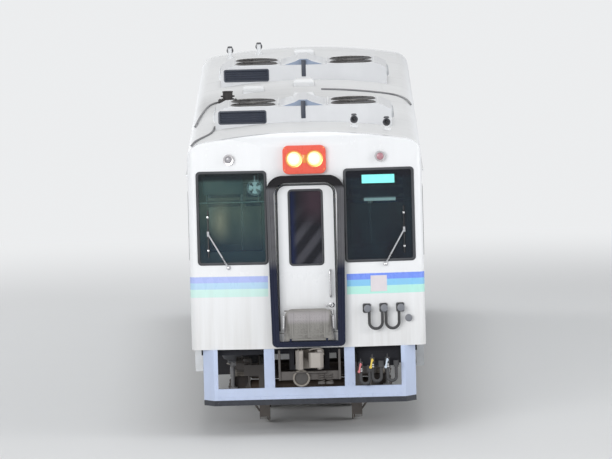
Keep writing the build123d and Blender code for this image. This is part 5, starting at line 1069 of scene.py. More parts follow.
def jumperCaps():
    # a hinged lid over each socket, with its four screws
    spots = [(alongFacet(x), jumpers["height"], 0.088) for x in jumpers["offsets"]]
    lids = copiesAt(lathe([(0, 0), (0.045, 0), (0.045, 0.006), (0.03, 0.012), (0, 0.013)], 24), spots)
    spare = moved(lathe([(0, 0), (0.044, 0), (0.044, 0.008), (0.03, 0.014), (0, 0.015)], 24),
                  alongFacet(jumpers["spare"][0]), jumpers["spare"][1], 0.04)
    corners = copiesAt(boltShape(0.006, 0.005), crossing((-0.038, 0.038), (-0.046, 0.046), 0.018 - 0.088))
    return bothEnds(onFacet(joined(lids, spare, copiesAt(corners, spots))))


makePiece("jumperCaps", jumperCaps(), socketGrey)

hoseCocks = {"red": (0.61, up(0.80), (0.76, 0.22, 0.24)), "yellow": (0.75, up(0.85), (0.90, 0.66, 0.10)),
             "white": (0.93, up(0.85), (0.70, 0.80, 0.92))}
hoseFront = -halfLength - 0.062


def cockHandle():
    # a lever that hangs from its spindle, with a hexagon nut and a ball end
    nut = outwardY(boltShape(0.017, 0.012), (0, -0.024, 0))
    lever = bentTube([(0, -0.036, 0.02), (-0.008, -0.048, -0.02), (-0.020, -0.050, -0.075)], 10, 0.010)
    ball = lathe([(0, -0.018), (0.013, -0.013), (0.018, 0), (0.013, 0.013), (0, 0.018)], 16)
    return joined(nut, lever, moved(ball, -0.021, -0.050, -0.08))


for name, (x, z, colour) in hoseCocks.items():
    makePiece(name + "CockHandles", bothEnds(moved(cockHandle(), x, hoseFront, z)),
              dirtyPaint(name + "Cock", colour, 0.12, 0.4))
# two clamp bands on each hose where it meets its fittings
bandSpots = [(x, hoseFront, z - d) for x, z, colour in hoseCocks.values() for d in (0.05, 0.075)]
hoseBands = copiesAt(band(0.0195, 0.0225, -0.008, 0.008, 20), bandSpots)
makePiece("hoseBands", bothEnds(hoseBands), brushed)

guardFront = -halfLength + 0.022


def skirtBolts():
    spots = crossing((0.45, 0.51), (up(0.97), up(0.89), up(0.57)))
    spots += crossing(np.arange(0.12, 1.1, 0.16), [up(0.44)])
    return fourPlaces(outwardY(copiesAt(boltShape(), spots), (0, guardFront, 0)))


def rubberClamp():
    # the flat bar that clamps the rubber strip to the guard, with cup-head bolts
    bar = roundBox((-1.09, -0.006, up(0.405)), (1.09, 0.001, up(0.440)), 0.002, 1)
    heads = copiesAt(stud(0.010, 0.008, 0.005, 0.007, 14),
                     crossing(np.linspace(-1.05, 1.05, 15), [up(0.4225)]))
    return bothEnds(moved(joined(bar, outwardY(heads, (0, -0.006, 0))), y=guardFront))


def couplerDetails():
    # a lifting lever to the lock pin, wear plate rivets and a rib across the head, from the coupler's face
    lever = bentTube([(0, 0.16, 0.110), (0.05, 0.15, 0.125), (0.15, 0.15, 0.120), (0.17, 0.19, 0.05)], 18,
                     0.010)
    rivets = copiesAt(lathe([(0, -0.004), (0.011, -0.004), (0.009, 0.004), (0, 0.007)], 12),
                      crossing((-0.13, -0.09), (0.16, 0.22, 0.28), 0.112))
    rib = roundBox((-0.15, 0.235, -0.108), (0.15, 0.247, 0.112), 0.003)
    return moved(joined(lever, rivets, rib), 0, -halfLength - 0.25, up(0.88))


def couplerCarrier():
    # a cradle under each coupler: a cross plate on two arms and two springs under a shelf
    low, high = up(0.60), up(0.735)
    plate = roundBox((-0.36, -0.012, low + 0.03), (0.36, 0.012, high), 0.01)
    arm = roundBox((0.345, -0.03, low + 0.03), (0.372, 0.05, up(0.99)), 0.006)
    shelf = roundBox((-0.20, -0.055, high - 0.022), (0.20, 0.06, high), 0.006)
    coil = tubeAlong(helix(0.034, 4.5, low - 0.01, high - 0.022, 110), 0.006, 7)
    spring = joined(coil, band(0, 0.045, low - 0.02, low + 0.004, 20))
    springs = copiesAt(spring, [(0.14, -0.02, 0), (0.235, -0.02, 0)])
    return moved(joined(plate, bothSides(arm), shelf, springs), y=-halfLength - 0.01)


# the round socket below the coupler, with a dark mouth
socketPlace = (-0.10, -halfLength - 0.03, up(0.656))
socketRing = lathe([(0.078, -0.02), (0.100, -0.02), (0.105, 0.02), (0.097, 0.034), (0.084, 0.034),
                    (0.078, 0.02)], 36)
socketMouth = stud(0.079, 0.079, 0.006, 0.004, 30)
makeAll(("skirtBolts", skirtBolts(), skirtPaint, "skirt_paint"),
        ("rubberClamps", rubberClamp(), skirtPaint, "skirt_paint"))
for end, turn in carEnds:
    makePiece("couplerDetails_" + end, turn(couplerDetails()), couplerSteel, "coupler_" + end)
makeAll(
    ("couplerCarriers", bothEnds(couplerCarrier()), bogiePaint, "bogie_paint"),
    ("carrierRings", bothEnds(outwardY(socketRing, socketPlace)), couplerSteel, "coupler_steel"),
    ("carrierMouths", bothEnds(outwardY(socketMouth, socketPlace)), blackPaint, "black_paint"),
)
print("stage: couplers and hoses fitted")


# Sides: gaskets round the windows, the sliding doors' seals and fittings, and what is fixed to the walls
windows = {"pitch": 1.59, "count": 7, "width": 1.31, "bottom": up(2.01), "top": up(2.90), "corner": 0.07,
           "cabY": 8.24, "cabWidth": 0.62, "cabBottom": up(2.06), "cabTop": up(2.88)}
lipProfile = np.array([(-0.003, 0), (0.011, 0), (0.009, 0.005), (0.0, 0.0075), (-0.003, 0.0075)])


def onWall(shape):
    return outwardX(shape, (halfWidth, 0, 0))


def atWindows(shape, height=0.0):
    w = windows
    return copiesAt(shape, [((i - (w["count"] - 1) / 2) * w["pitch"], height, 0) for i in range(w["count"])])


def thickSheet(front, depth):
    # a grid of points facing +Z, closed with a copy of itself set back and its four edges joined
    back = front - np.array([0, 0, depth])
    sheet = gridShape(np.concatenate([back[:, :1], front, back[:, -1:]], axis=1))
    edges = [gridShape(np.stack([front[k], back[k]])) for k in (0, -1)]
    return joined(sheet, gridShape(back[:, ::-1]), *edges)


def windowGaskets():
    # one lip ring carried along the wall to every window, and one for the cab windows
    w = windows
    main = ringBetween(w["width"], w["bottom"], w["top"], w["corner"], lipProfile)
    cab = ringBetween(w["cabWidth"], w["cabBottom"], w["cabTop"], w["corner"], lipProfile)
    return bothSides(onWall(joined(atWindows(main), copiesAt(cab, crossing((-w["cabY"], w["cabY"]), [0])))))


def sashCatches():
    # two thumb catches on the middle rail of each window and a finger lip along the upper sash
    catch = joined(roundBox((-0.03, -0.011, 0), (0.03, 0.011, 0.004), 0.002, 1),
                       moved(stud(0.008, 0.008, 0.007, 0.009), z=0.003))
    lip = sweptAlong([(-0.55, 0.030, 0), (0.55, 0.030, 0)], [(0, 0), (0.006, 0), (0.006, 0.004), (0, 0.006)])
    rail = joined(copiesAt(catch, crossing((-0.45, 0.45), [0])), lip)
    return bothSides(onWall(atWindows(rail, up(2.60))))


makePiece("windowGaskets", windowGaskets(), blackRubber)
makePiece("sashCatches", sashCatches(), anodised)

sideDoor = {"centre": -7.18, "half": 0.475, "face": 1.370, "middle": 1.353, "lead": -7.648, "bottom": 1.183,
            "top": 3.099, "windowWidth": 0.56, "windowBottom": up(1.98), "windowTop": up(2.86),
            "corner": 0.07}


def sideDoorSeals():
    # a low gasket round the glass, and a half-round rubber nose up the leading edge: (r sin a, s cos a)
    d = sideDoor
    ring = ringBetween(d["windowWidth"], d["windowBottom"], d["windowTop"], d["corner"],
                       beadProfile * [0.8, 0.19],
                       d["centre"])
    half = arcPoints(1, 7, -pi / 2, pi)[:, ::-1] * [0.015, 0.006]
    edge = [(d["middle"], d["lead"], z) for z in (d["bottom"] + 0.01, d["top"] - 0.01)]
    nose = sweptAlong(edge, np.vstack([[-0.015, -0.001], half, [0.015, -0.001]]), (0, -1, 0))
    return joined(outwardX(ring, (d["face"], 0, 0)), nose)


def sideDoorFittings():
    # a kick plate with screws, a flush pull with its cup, and a lock escutcheon
    d = sideDoor
    plate = roundBox((-0.40, 0.02, 0), (0.42, 0.26, 0.0015), 0.001, 1)
    screws = copiesAt(stud(0.006, 0.004, 0.0024, 0.003, 10),
                      crossing((-0.38, -0.12, 0.14, 0.40), (0.035, 0.245)))
    pull = ringOn(0.058, 0.19, 0.028, [(-0.006, 0), (0.008, 0), (0.006, 0.0028), (-0.003, 0.0022)],
                  (0, up(1.72)))
    lock = moved(lathe([(0, 0), (0.02, 0), (0.018, 0.0025), (0.006, 0.003), (0, 0.001)], 18), y=up(1.52))
    whole = joined(moved(joined(plate, screws), d["centre"], d["bottom"]),
                       moved(joined(pull, lock), d["lead"] + 0.11))
    return outwardX(whole, (d["face"], 0, 0))


doorPlaces = {"front_right": same, "front_left": mirroredX, "rear_right": mirroredY, "rear_left": turnedHalf}
for place, turn in doorPlaces.items():
    makePiece("sideDoorSeals_" + place, turn(sideDoorSeals()), blackRubber, "side_door_" + place)
    makePiece("sideDoorFittings_" + place, turn(sideDoorFittings()), brushed, "side_door_" + place)


def doorwayTrim():
    # bright strips up both edges of each side doorway, and a ribbed tread on its sill
    d = sideDoor
    strip = roundBox((d["half"], up(1.02), 0), (d["half"] + 0.018, up(3.075), 0.003), 0.0012, 1)
    rib = roundBox((-0.0045, d["centre"] - 0.44, 0), (0.0045, d["centre"] + 0.44, 0.003), 0.001, 1)
    ribs = copiesAt(rib, crossing((1.301, 1.315, 1.383, 1.394), [0], up(1.15) - 0.0002))
    return fourPlaces(joined(onWall(moved(bothSides(strip), d["centre"])), ribs))


def stepTreads():
    # rows of small round grips on each hanging step, and a nosing bar
    spots = crossing(1.215 + 0.033 * np.arange(5), sideDoor["centre"] + 0.042 * np.arange(-7, 8), up(0.66))
    nosing = roundBox((1.372, -7.50, up(0.642)), (1.384, -6.86, up(0.663)), 0.004)
    return fourPlaces(joined(copiesAt(stud(0.009, 0.006, 0.003, 0.003, 7), spots), nosing))


def boardFrame():
    # a blank roller board behind glass beside each side door: the frame and, apart from it, the dark face
    screws = copiesAt(stud(0.006, 0.004, 0.006, 0.011, 8), crossing((-0.30, 0.0, 0.30), (-0.1295, 0.1295)))
    return joined(ringOn(0.72, 0.26, 0.03, beadProfile * 0.9), screws)


def boardFace():
    # a slightly crowned pane: z = 0.004 + 0.003 (1 - x^2)(1 - y^2)
    x, y = np.meshgrid(np.linspace(-1, 1, 9), np.linspace(-1, 1, 7), indexing="ij")
    return thickSheet(np.stack([x * 0.355, y * 0.125, 0.004 + 0.003 * (1 - x**2) * (1 - y**2)], -1), 0.0045)


def wallTrim():
    # a half-round strip along the foot of the wall, and the filler flap with its hinge and lock
    foot = bodyBottom + 0.03
    strip = sweptAlong([(-6.66, foot, 0), (6.66, foot, 0)], arcPoints(1, 6, 0, pi) * [0.006, 0.005])
    flap = roundBox((-3.65, up(1.20), 0), (-3.47, up(1.38), 0.004), 0.003, 1)
    knuckle = tubeAlong([(-0.02, 0, 0), (0.02, 0, 0)], 0.005, 8)
    knuckles = copiesAt(knuckle, crossing((-3.60, -3.52), [up(1.385)], 0.005))
    turnlock = moved(stud(0.012, 0.011, 0.003, 0.005, 14), -3.56, up(1.225), 0.004)
    return bothSides(onWall(joined(strip, flap, knuckles, turnlock)))


# the small lamps beside the doors: a round base and a dome, r = 0.024 cos a and z = 0.004 + 0.012 sin a
lampDome = lathe(np.vstack([arcPoints(1, 6) * [0.024, 0.012] + [0, 0.004], [0, 0.004]]), 24)
boardSpot, lampSpot = (-6.06, up(2.62)), (-6.40, up(2.985))
makeAll(
    ("doorwayTrim", doorwayTrim(), anodised, "bare_metal"),
    ("stepTreads", stepTreads(), plateSteel, "plate_steel"),
    ("sideBoardFrames", fourPlaces(onWall(moved(boardFrame(), *boardSpot))), anodised, "bare_metal"),
    ("sideBoardFaces", fourPlaces(onWall(moved(boardFace(), *boardSpot))), boardGlass, "black_paint"),
    ("sideLampBases", fourPlaces(onWall(moved(stud(0.036, 0.034, 0.004, 0.004, 24), *lampSpot))), chrome,
     "bright_steel"),
    ("sideLampDomes", fourPlaces(onWall(moved(lampDome, *lampSpot))), redLens, "lamp_body"),
    ("wallTrim", wallTrim(), enamel, "body_paint"),
)
print("stage: sides fitted")


# Roof: what dresses the two cooling units, the conduits, the ventilators, the horns and the exhaust
archRadius = 7.327


def roofSurface(x):
    # the arch's height less its fall towards the sides, and a quarter round of 0.2 m at the shoulders
    x = np.abs(np.asarray(x, float))
    arch = roofTop - archRadius + np.sqrt(archRadius**2 - x**2)
    shoulder = roofTop - 0.291 + np.sqrt(np.maximum(0.04 - np.maximum(x - 1.2, 0) ** 2, 0))
    return np.where(x > 1.19, np.minimum(arch, shoulder), arch)


def atUnits(shape):
    return alongY(shape, roofUnit["stations"])


def atFans(shape):
    u = roofUnit
    return atUnits(copiesAt(shape, crossing((-u["fanX"], u["fanX"]), (-u["fanY"], u["fanY"]), u["top"])))


def fanGuards():
    # a rolled rim, four wire rings over a domed line h = 0.030 - 0.2 r^2, and twelve spokes that follow it
    r0 = roofUnit["fanRadius"]
    rim = lathe([(r0, -0.002), (r0 + 0.024, -0.002), (r0 + 0.022, 0.010), (r0 + 0.008, 0.018), (r0, 0.010)],
                28)
    rings = [wireRing(r, 0.030 - 0.2 * r * r, 0.0025, 24) for r in r0 * np.array([0.2, 0.4, 0.6, 0.8])]
    line = np.linspace(0.03, r0 + 0.006, 5)
    spoke = tubeAlong(np.column_stack([line, line * 0, 0.030 - 0.2 * line**2]), 0.0022, 5)
    hub = lathe([(0, 0.024), (0.04, 0.024), (0.042, 0.030), (0.03, 0.036), (0, 0.037)], 18)
    return atFans(joined(rim, *rings, spunRound(spoke, 12), hub))


def fanBlades():
    # a dark well floor with five blades, each a sheet that climbs along its turn: z = 0.011 + 0.012 v
    u, v = np.meshgrid(np.linspace(0.05, 0.235, 4), np.linspace(-0.42, 0.42, 5), indexing="ij")
    blade = thickSheet(np.stack([u * np.cos(v), u * np.sin(v), 0.011 + 0.012 * v], -1), 0.0016)
    return atFans(joined(band(0, 0.25, 0.0015, 0.003, 28), spunRound(blade, 5)))


def unitLids():
    # raised lid edges beside the hump, grab rails along its foot, and ribs over the hump
    top = roofUnit["top"]
    lid = ringOn(0.60, 1.36, 0.03, rectProfile(-0.006, 0.006, -0.001, 0.006), (0.61, 0))
    rail = bentTube([(0.30, y, z) for y, z in (
        (-0.45, 0), (-0.44, 0.03), (-0.2, 0.034), (0.2, 0.034), (0.44, 0.03), (0.45, 0))], 24, 0.007, 8)
    half = [(0.275, top - 0.002), (0.105, top + 0.044), (0.045, roofUnit["humpTop"] - 0.0065)]
    path = [(-x, 0, z) for x, z in half] + [(x, 0, z) for x, z in half[::-1]]
    rib = sweptAlong(path, rectProfile(-0.011, 0.011, -0.003, 0.005))
    return atUnits(joined(bothSides(moved(joined(lid, rail), z=top)),
                          alongY(rib, np.linspace(-0.62, 0.62, 6))))


def unitLatches():
    # over-centre catches along both sides: a base, a lever bent away from it and a wire bail above
    base = roundBox((-0.022, -0.035, 0), (0.022, 0.025, 0.006), 0.002, 1)
    lever = sweptAlong(smoothPath([(0, 0.015, 0.005), (0, -0.01, 0.014), (0, -0.045, 0.012),
                                   (0, -0.055, 0.018)], 8),
                       rectProfile(-0.014, 0.014, -0.002, 0.002), (1, 0, 0))
    bail = tubeAlong([(x, y, 0.008) for x, y in ((-0.015, 0), (-0.015, 0.05), (0.015, 0.05), (0.015, 0))],
                     0.0025, 6)
    catch = outwardX(joined(base, lever, bail), (roofUnit["side"], 0, roofUnit["top"] - 0.12))
    return atUnits(bothSides(alongY(catch, (-0.55, -0.18, 0.18, 0.55))))


def louvreFrames():
    # a flanged frame with eight screws round each louvre, at diagonal corners of a unit
    frame = ringOn(0.552, 0.132, 0.012, [(-0.006, 0), (0.016, 0), (0.016, 0.004), (0, 0.006)])
    screws = copiesAt(stud(0.005, 0.004, 0.007, 0.008, 8),
                      crossing((-0.26, -0.09, 0.09, 0.26), (-0.074, 0.074)))
    place = (-0.74, -roofUnit["half"], roofUnit["top"] - 0.12)
    return atUnits(bothEnds(outwardY(joined(frame, screws), place)))


def conduitAlong(points, radius=0.012):
    # a pipe laid on the roof through a few places, z = roof(x) + 0.9 r, with saddle clips along it
    route = smoothPath([(x, y, 0) for x, y in points], 36)
    route[:, 2] = roofSurface(route[:, 0]) + radius * 0.9
    saddle = arcPoints(radius + 0.004, 7, 0, pi) - [0, radius * 0.6]
    clips = []
    for k in range(3, 34, 6):
        step = (route[k + 1] - route[k]) / np.linalg.norm(route[k + 1] - route[k])
        clips.append(sweptAlong([route[k] - step * 0.012, route[k] + step * 0.012], saddle))
    return joined(tubeAlong(route, radius, 8), *clips)


conduits = (
    [(-1.345, -8.66), (-1.24, -8.1), (-1.14, -7.6), (-1.10, -7.1), (-1.085, -6.4)],
    [(-1.335, -5.30), (-1.30, -4.3), (-1.26, -3.2), (-1.20, -2.1), (-1.12, -1.68), (-1.02, -1.65)],
    [(1.345, -1.9), (1.30, -1.5), (1.24, -1.1), (1.10, -0.78), (0.70, -0.72), (0.22, -0.70)],
)


def ventSlats():
    # three drip bars round each cowl
    bar = ringOn(0.262, 0.342, 0.006, [(-0.004, 0), (0.009, -0.004), (0.009, 0.002), (-0.004, 0.008)], (0, 0),
                 2)
    places = ((0.0, 0.3), (-0.64, -0.35), (0.0, -3.9), (0.0, -2.4), (0.0, 5.2), (0.0, 6.9))
    rises = (0.012, 0.030, 0.048)
    return copiesAt(bar, [(x, y, float(roofSurface(x)) + d) for x, y in places for d in rises])


def hornBells():
    # a trumpet r = 0.012 + 0.034 t^4 carried forward from the head of each horn, with its rolled lip
    t = np.linspace(0, 1, 9)
    outer = np.column_stack([0.012 + 0.034 * t**4, -0.02 + 0.14 * t])
    inner = np.column_stack([0.009 + 0.032 * t[::-1] ** 4, -0.012 + 0.13 * t[::-1]])
    bell = lathe(np.vstack([[0, -0.02], outer, [0.047, 0.123], inner, [0, -0.012]]), 22)
    cap = lathe([(0, 0), (0.034, 0), (0.034, 0.012), (0.026, 0.022), (0, 0.024)], 18)
    horn = joined(outwardY(bell, (0, 0, 0.10)), moved(cap, z=0.14))
    return bothEnds(copiesAt(horn, [(x, -7.75, float(roofSurface(x))) for x in (0.61, 1.0)]))


def exhaustFittings():
    # a rolled lip, a clamp with its two ears, a bolted foot ring and a baffle cross inside the mouth
    top, foot = up(3.65), float(roofSurface(exhaustPlace[0])) + 0.028
    lip = lathe([(0.054, -0.012), (0.064, -0.012), (0.070, -0.004), (0.064, 0.004), (0.054, 0.001)], 28)
    vane = roundBox((-0.054, -0.002, -0.07), (0.054, 0.002, -0.008), 0.001, 1)
    mouth = moved(joined(lip, vane, spun(vane, pi / 2)), z=top)
    ears = bothSides(roundBox((0.066, -0.012, 0.032), (0.088, 0.012, 0.050), 0.003))
    bolts = copiesAt(boltShape(0.011, 0.010), roundPlaces(0.098, 8))
    clamp = moved(joined(band(0.0615, 0.067, 0.03, 0.052, 28), bolts, ears), z=foot)
    return moved(joined(mouth, clamp), *exhaustPlace)


# the upright dark bar that divides each hump's front, standing from the unit's foot to the ridge
humpBar = roundBox((-0.028, -roofUnit["half"] - 0.006, roofUnit["top"] - 0.15),
                   (0.028, -roofUnit["half"] + 0.046, roofUnit["humpTop"] - 0.012), 0.006)
makeAll(
    ("fanGuards", fanGuards(), blackPaint, "black_paint"),
    ("fanBlades", fanBlades(), louvreSlate, "dark_steel"),
    ("unitLids", unitLids(), roofPaint, "roof_paint"),
    ("unitLatches", unitLatches(), anodised, "bright_steel"),
    ("louvreFrames", louvreFrames(), louvreSlate, "dark_steel"),
    ("humpBars", atUnits(humpBar), louvreSlate, "dark_steel"),
    ("roofConduits", joined(*[conduitAlong(points) for points in conduits]), conduitGrey, "dark_steel"),
    ("ventSlats", ventSlats(), roofPaint, "roof_paint"),
    ("hornBells", hornBells(), hornPaint, "dark_steel"),
    ("exhaustFittings", exhaustFittings(), stackSteel, "dark_steel"),
)
print("stage: roof fitted")


# Below the floor: doors and catches of the boxes, straps, pipes, and the engine's fittings
boxFace = 1.294
gearBoxes = ((-1, 2.35, 4.25, 0.42), (-1, -1.90, -1.50, 0.48), (1, -2.40, -1.50, 0.45),
             (1, -1.25, -0.20, 0.48), (1, 1.95, 3.05, 0.44))


def boxDoors():
    # for each box door a pressed rim and hood louvres; and, apart, two quarter-turn catches and two hinges
    catch = joined(stud(0.016, 0.014, 0.006, 0.007, 14),
                       roundBox((-0.013, -0.003, 0.005), (0.013, 0.003, 0.012), 0.002, 1))
    hinge = tubeAlong([(-0.035, 0, 0.006), (0.035, 0, 0.006)], 0.008, 8)
    rimProfile = [(-0.006, 0), (0.006, 0), (0.003, 0.005), (-0.003, 0.005)]
    hoodProfile = [(0, 0), (0.022, 0), (0.016, 0.010), (0.004, 0.012)]
    rims, fittings = [], []
    for side, y0, y1, bottom in gearBoxes:
        doors = max(1, round((y1 - y0) / 0.62))
        pitch = (y1 - y0) / doors
        low, high, half = up(bottom + 0.03), up(0.84), pitch / 2 - 0.025
        rim = ringOn(2 * half - 0.05, high - low - 0.05, 0.02, rimProfile, (0, (low + high) / 2), 3)
        hood = sweptAlong([(-half * 0.55, 0, 0), (half * 0.55, 0, 0)], hoodProfile)
        door = joined(rim, copiesAt(hood, crossing([0], high - 0.10 - 0.032 * np.arange(4))))
        across = (-half * 0.6, half * 0.6)
        fit = joined(copiesAt(catch, crossing(across, [low + 0.05])),
                     copiesAt(hinge, crossing(across, [high])))
        middles = [(side * (y0 + (i + 0.5) * pitch), 0, 0) for i in range(doors)]
        for made, shape in ((rims, door), (fittings, fit)):
            made.append(outwardX(copiesAt(shape, middles), (side * boxFace, 0, 0), side))
    return joined(*rims), joined(*fittings)


def tankFittings():
    # strap bands round the fuel tank, the filler cap, a sight gauge and a drain plug
    strap = ringOn(0.902, 0.472, 0.071, rectProfile(0, 0.005, -0.03, 0.03), (0.78, up(0.635)), 5)
    cap = lathe([(0, 0), (0.052, 0), (0.052, 0.02), (0.046, 0.030), (0.02, 0.032), (0.02, 0.04), (0, 0.04)],
                20)
    cap = placed(cap, (1.222, -3.85, up(0.892)), (0.496, 0, -0.868), (0, 1, 0), (0.868, 0, 0.496))
    gauge = tubeAlong([(1.245, -3.30, up(0.48)), (1.245, -3.30, up(0.78))], 0.008, 8)
    holder = roundBox((1.225, -3.315, -0.014), (1.262, -3.285, 0.014), 0.004)
    holders = [moved(holder, z=up(height)) for height in (0.48, 0.78)]
    plug = hanging(boltShape(0.022, 0.016), (0.78, -3.55, up(0.40)))
    return joined(alongY(outwardY(strap), (-4.10, -3.00)), cap, gauge, *holders, plug)


def radiatorCore():
    # a pleated sheet standing in the opening, x = -1.226 + 0.010 (i mod 2), closed behind
    y = np.linspace(-4.17, -2.43, 233)
    pleat = -1.226 + 0.010 * (np.arange(len(y)) % 2)
    profile = np.vstack([np.column_stack([pleat, y]), [(-1.205, y[-1]), (-1.205, y[0])]])
    bottom = flat(profile) + [0, 0, up(0.385)]
    return gridShape(np.stack([bottom, bottom + [0, 0, 0.45]]), closeCols=True)


def radiatorMesh():
    # a square wire mesh before the core
    wire = tubeAlong([(-1.276, 0, up(0.375)), (-1.276, 0, up(0.845))], 0.0022, 4)
    cross = tubeAlong([(-1.2735, -4.19, 0), (-1.2735, -2.41, 0)], 0.0022, 4)
    rows = [(0, 0, z) for z in np.arange(up(0.40), up(0.84), 0.045)]
    return joined(alongY(wire, np.arange(-4.16, -2.42, 0.045)), copiesAt(cross, rows))


def reservoirFittings():
    # end flanges, a boss on each end and a drain cock under each tank
    made, z = [], up(0.725)
    ring = band(0.166, 0.172, -0.012, 0.012, 28)
    boss = lathe([(0, 0), (0.03, 0), (0.03, 0.012), (0.018, 0.016), (0.018, 0.03), (0, 0.03)], 14)
    cock = lathe([(0, 0), (0.016, 0), (0.016, 0.02), (0.009, 0.024), (0.009, 0.045), (0, 0.045)], 12)
    for x, y0, y1 in ((-1.04, -0.15, 1.30), (1.04, 3.30, 4.75), (0.56, 3.30, 4.75)):
        made += [outwardY(ring, (x, y0 + 0.08, z)), outwardY(ring, (x, y1 - 0.08, z)),
                 outwardY(boss, (x, y0, z)),
                 outwardY(boss, (x, y1, z), 1), hanging(cock, (x, (y0 + y1) / 2, z - 0.163))]
    return joined(*made)


def underfloorPipes():
    # the brake, main air and heating pipes under the floor, with hangers, and branches to the tanks
    pipes, hangers = [], []
    for x, r, z in ((0.305, 0.012, up(0.905)), (-0.305, 0.010, up(0.905)), (-0.345, 0.014, up(0.902))):
        pipes.append(bentTube([(x, y, z) for y in (-5.80, -2, 2, 5.80)], 12, r))
        hangers.append(sweptAlong([(x, -0.012, z), (x, 0.012, z)],
                                  arcPoints(r + 0.004, 7, 0, pi)[::-1] * [1, -1]))
    branches = (
        ([(0.305, 3.9, 0.90), (0.40, 3.9, 0.885), (0.56, 3.9, 0.895)], 8),
        ([(-0.345, 1.45, 0.90), (-0.62, 1.45, 0.88), (-0.98, 1.42, 0.80), (-1.04, 1.33, 0.725)], 16),
        ([(0.305, 3.10, 0.90), (0.62, 3.13, 0.84), (0.98, 3.16, 0.76), (1.04, 3.28, 0.725)], 16),
    )
    made = [bentTube(np.array(path) + [0, 0, railTop], count, 0.009, 8) for path, count in branches]
    return joined(*pipes, alongY(joined(*hangers), np.arange(-5.175, 5.3, 1.15)), *made)


cylinderPitch = 0.3667


def exhaustPipes():
    # the exhaust manifold with its six stubs, the silencer and the pipe to the floor, from the rail up
    stub = bentTube([(-0.70, -1.05, 0.66), (-0.76, -1.03, 0.67), (-0.79, -0.96, 0.69)], 8, 0.026)
    log = tubeAlong([(-0.795, -1.08, 0.69), (-0.795, 0.98, 0.69)], 0.040, 14)
    drop = bentTube([(-0.795, -1.05, 0.69), (-0.80, -1.20, 0.66), (-0.80, -1.34, 0.52)], 12, 0.038, 12)
    half = np.array([(0, 0), (0.04, 0), (0.074, 0.03), (0.078, 0.06)])
    silencer = outwardY(lathe(np.vstack([half, half[::-1] * [1, -1] + [0, 0.84]]), 24), (-0.80, -0.50, 0.485))
    riser = bentTube([(-0.80, -1.28, 0.47), (-0.80, -1.44, 0.50), (-0.80, -1.50, 0.65), (-0.80, -1.50, 0.93)],
                     18,
                     0.038, 12)
    return moved(joined(alongY(stub, cylinderPitch * np.arange(6)), log, drop, silencer, riser), z=railTop)


def intakePipes():
    # the air intake and its cleaner, from the rail up
    intake = bentTube([(0.60, -0.4, 0.70), (0.71, -0.3, 0.72), (0.72, 0.6, 0.73), (0.70, 1.24, 0.73)], 26,
                      0.055, 14)
    cleaner = lathe([(0, 0), (0.10, 0), (0.115, 0.02), (0.115, 0.44), (0.10, 0.47), (0.05, 0.50), (0, 0.50)],
                    26)
    return moved(joined(intake, outwardY(cleaner, (0.70, 1.74, 0.73))), z=railTop)


def engineDetails():
    # six head covers with their bolts, two oil filters, a pulley with its belt line, and sump bolts
    centres = -1.2 + cylinderPitch * (np.arange(6) + 0.5)
    cover = roundBox((-0.725, -0.11, up(0.545)), (-0.705, 0.11, up(0.715)), 0.01)
    bolt = outwardX(boltShape(0.009, 0.007), (-0.724, 0, 0), -1)
    bolts = copiesAt(bolt, [(0, d, up(z)) for d in (-0.085, 0.085) for z in (0.565, 0.695)])
    canister = lathe([(0, 0), (0.05, 0), (0.055, 0.01), (0.055, 0.17), (0.048, 0.19), (0.048, 0.20),
                      (0, 0.20)], 22)
    head = roundBox((0.60, -0.06, 0.20), (0.74, 0.06, 0.25), 0.01)
    filters = alongY(joined(moved(canister, 0.685), head), (-0.95, -0.78), up(0.40))
    pulley = lathe([(0, 0), (0.16, 0), (0.16, 0.012), (0.14, 0.022), (0.16, 0.032), (0.16, 0.046),
                    (0.05, 0.046),
                    (0.045, 0.06), (0, 0.06)], 32)
    sump = copiesAt(hanging(boltShape(0.010, 0.006), (0, 0, up(0.47))),
                    [(x, -y, 0) for x in (-0.285, 0.335) for y in np.linspace(-1.15, 0.95, 9)])
    return joined(alongY(joined(cover, bolts), centres), filters,
                      outwardY(pulley, (-0.10, -1.345, up(0.58))), sump)


def gearboxRibs():
    # cooling ribs and a bolted joint round the gearbox, and yokes at both ends of the drive shaft
    rib = outwardY(lathe([(0.288, -0.006), (0.304, -0.004), (0.304, 0.004), (0.288, 0.006)], 36),
                   (0, 0, up(0.60)))
    bolts = outwardY(copiesAt(boltShape(0.012, 0.010), roundPlaces(0.245, 12)), (0, 1.708, up(0.60)), 1)
    joint = joined(roundBox((-0.030, -0.05, -0.072), (0.030, 0.05, 0.072), 0.02),
                       tubeAlong([(-0.082, 0, 0), (0.082, 0, 0)], 0.020, 12))
    joints = copiesAt(joint, [(0, 2.03, up(0.60)), (0, 4.70, up(0.407))])
    return joined(alongY(rib, np.linspace(1.22, 1.62, 7)), bolts, joints)


doorRims, doorCatches = boxDoors()
makeAll(
    ("boxDoorRims", doorRims, frameBlackAndShade, "frame_paint"),
    ("boxDoorCatches", doorCatches, anodised, "bright_steel"),
    ("tankFittings", tankFittings(), frameBlackAndShade, "frame_paint"),
    ("radiatorCore", radiatorCore(), louvreSlate, "dark_steel"),
    ("radiatorMesh", radiatorMesh(), frameBlackAndShade, "dark_steel"),
    ("reservoirFittings", reservoirFittings(), couplerSteel, "dark_steel"),
    ("underfloorPipes", underfloorPipes(), conduitGrey, "dark_steel"),
    ("exhaustPipes", exhaustPipes(), rustyPipe, "dark_steel"),
    ("intakePipes", intakePipes(), blackPaint, "black_paint"),
    ("engineDetails", engineDetails(), enginePaint, "engine_paint"),
    ("gearboxRibs", gearboxRibs(), enginePaint, "engine_paint"),
)
print("stage: underfloor fitted")


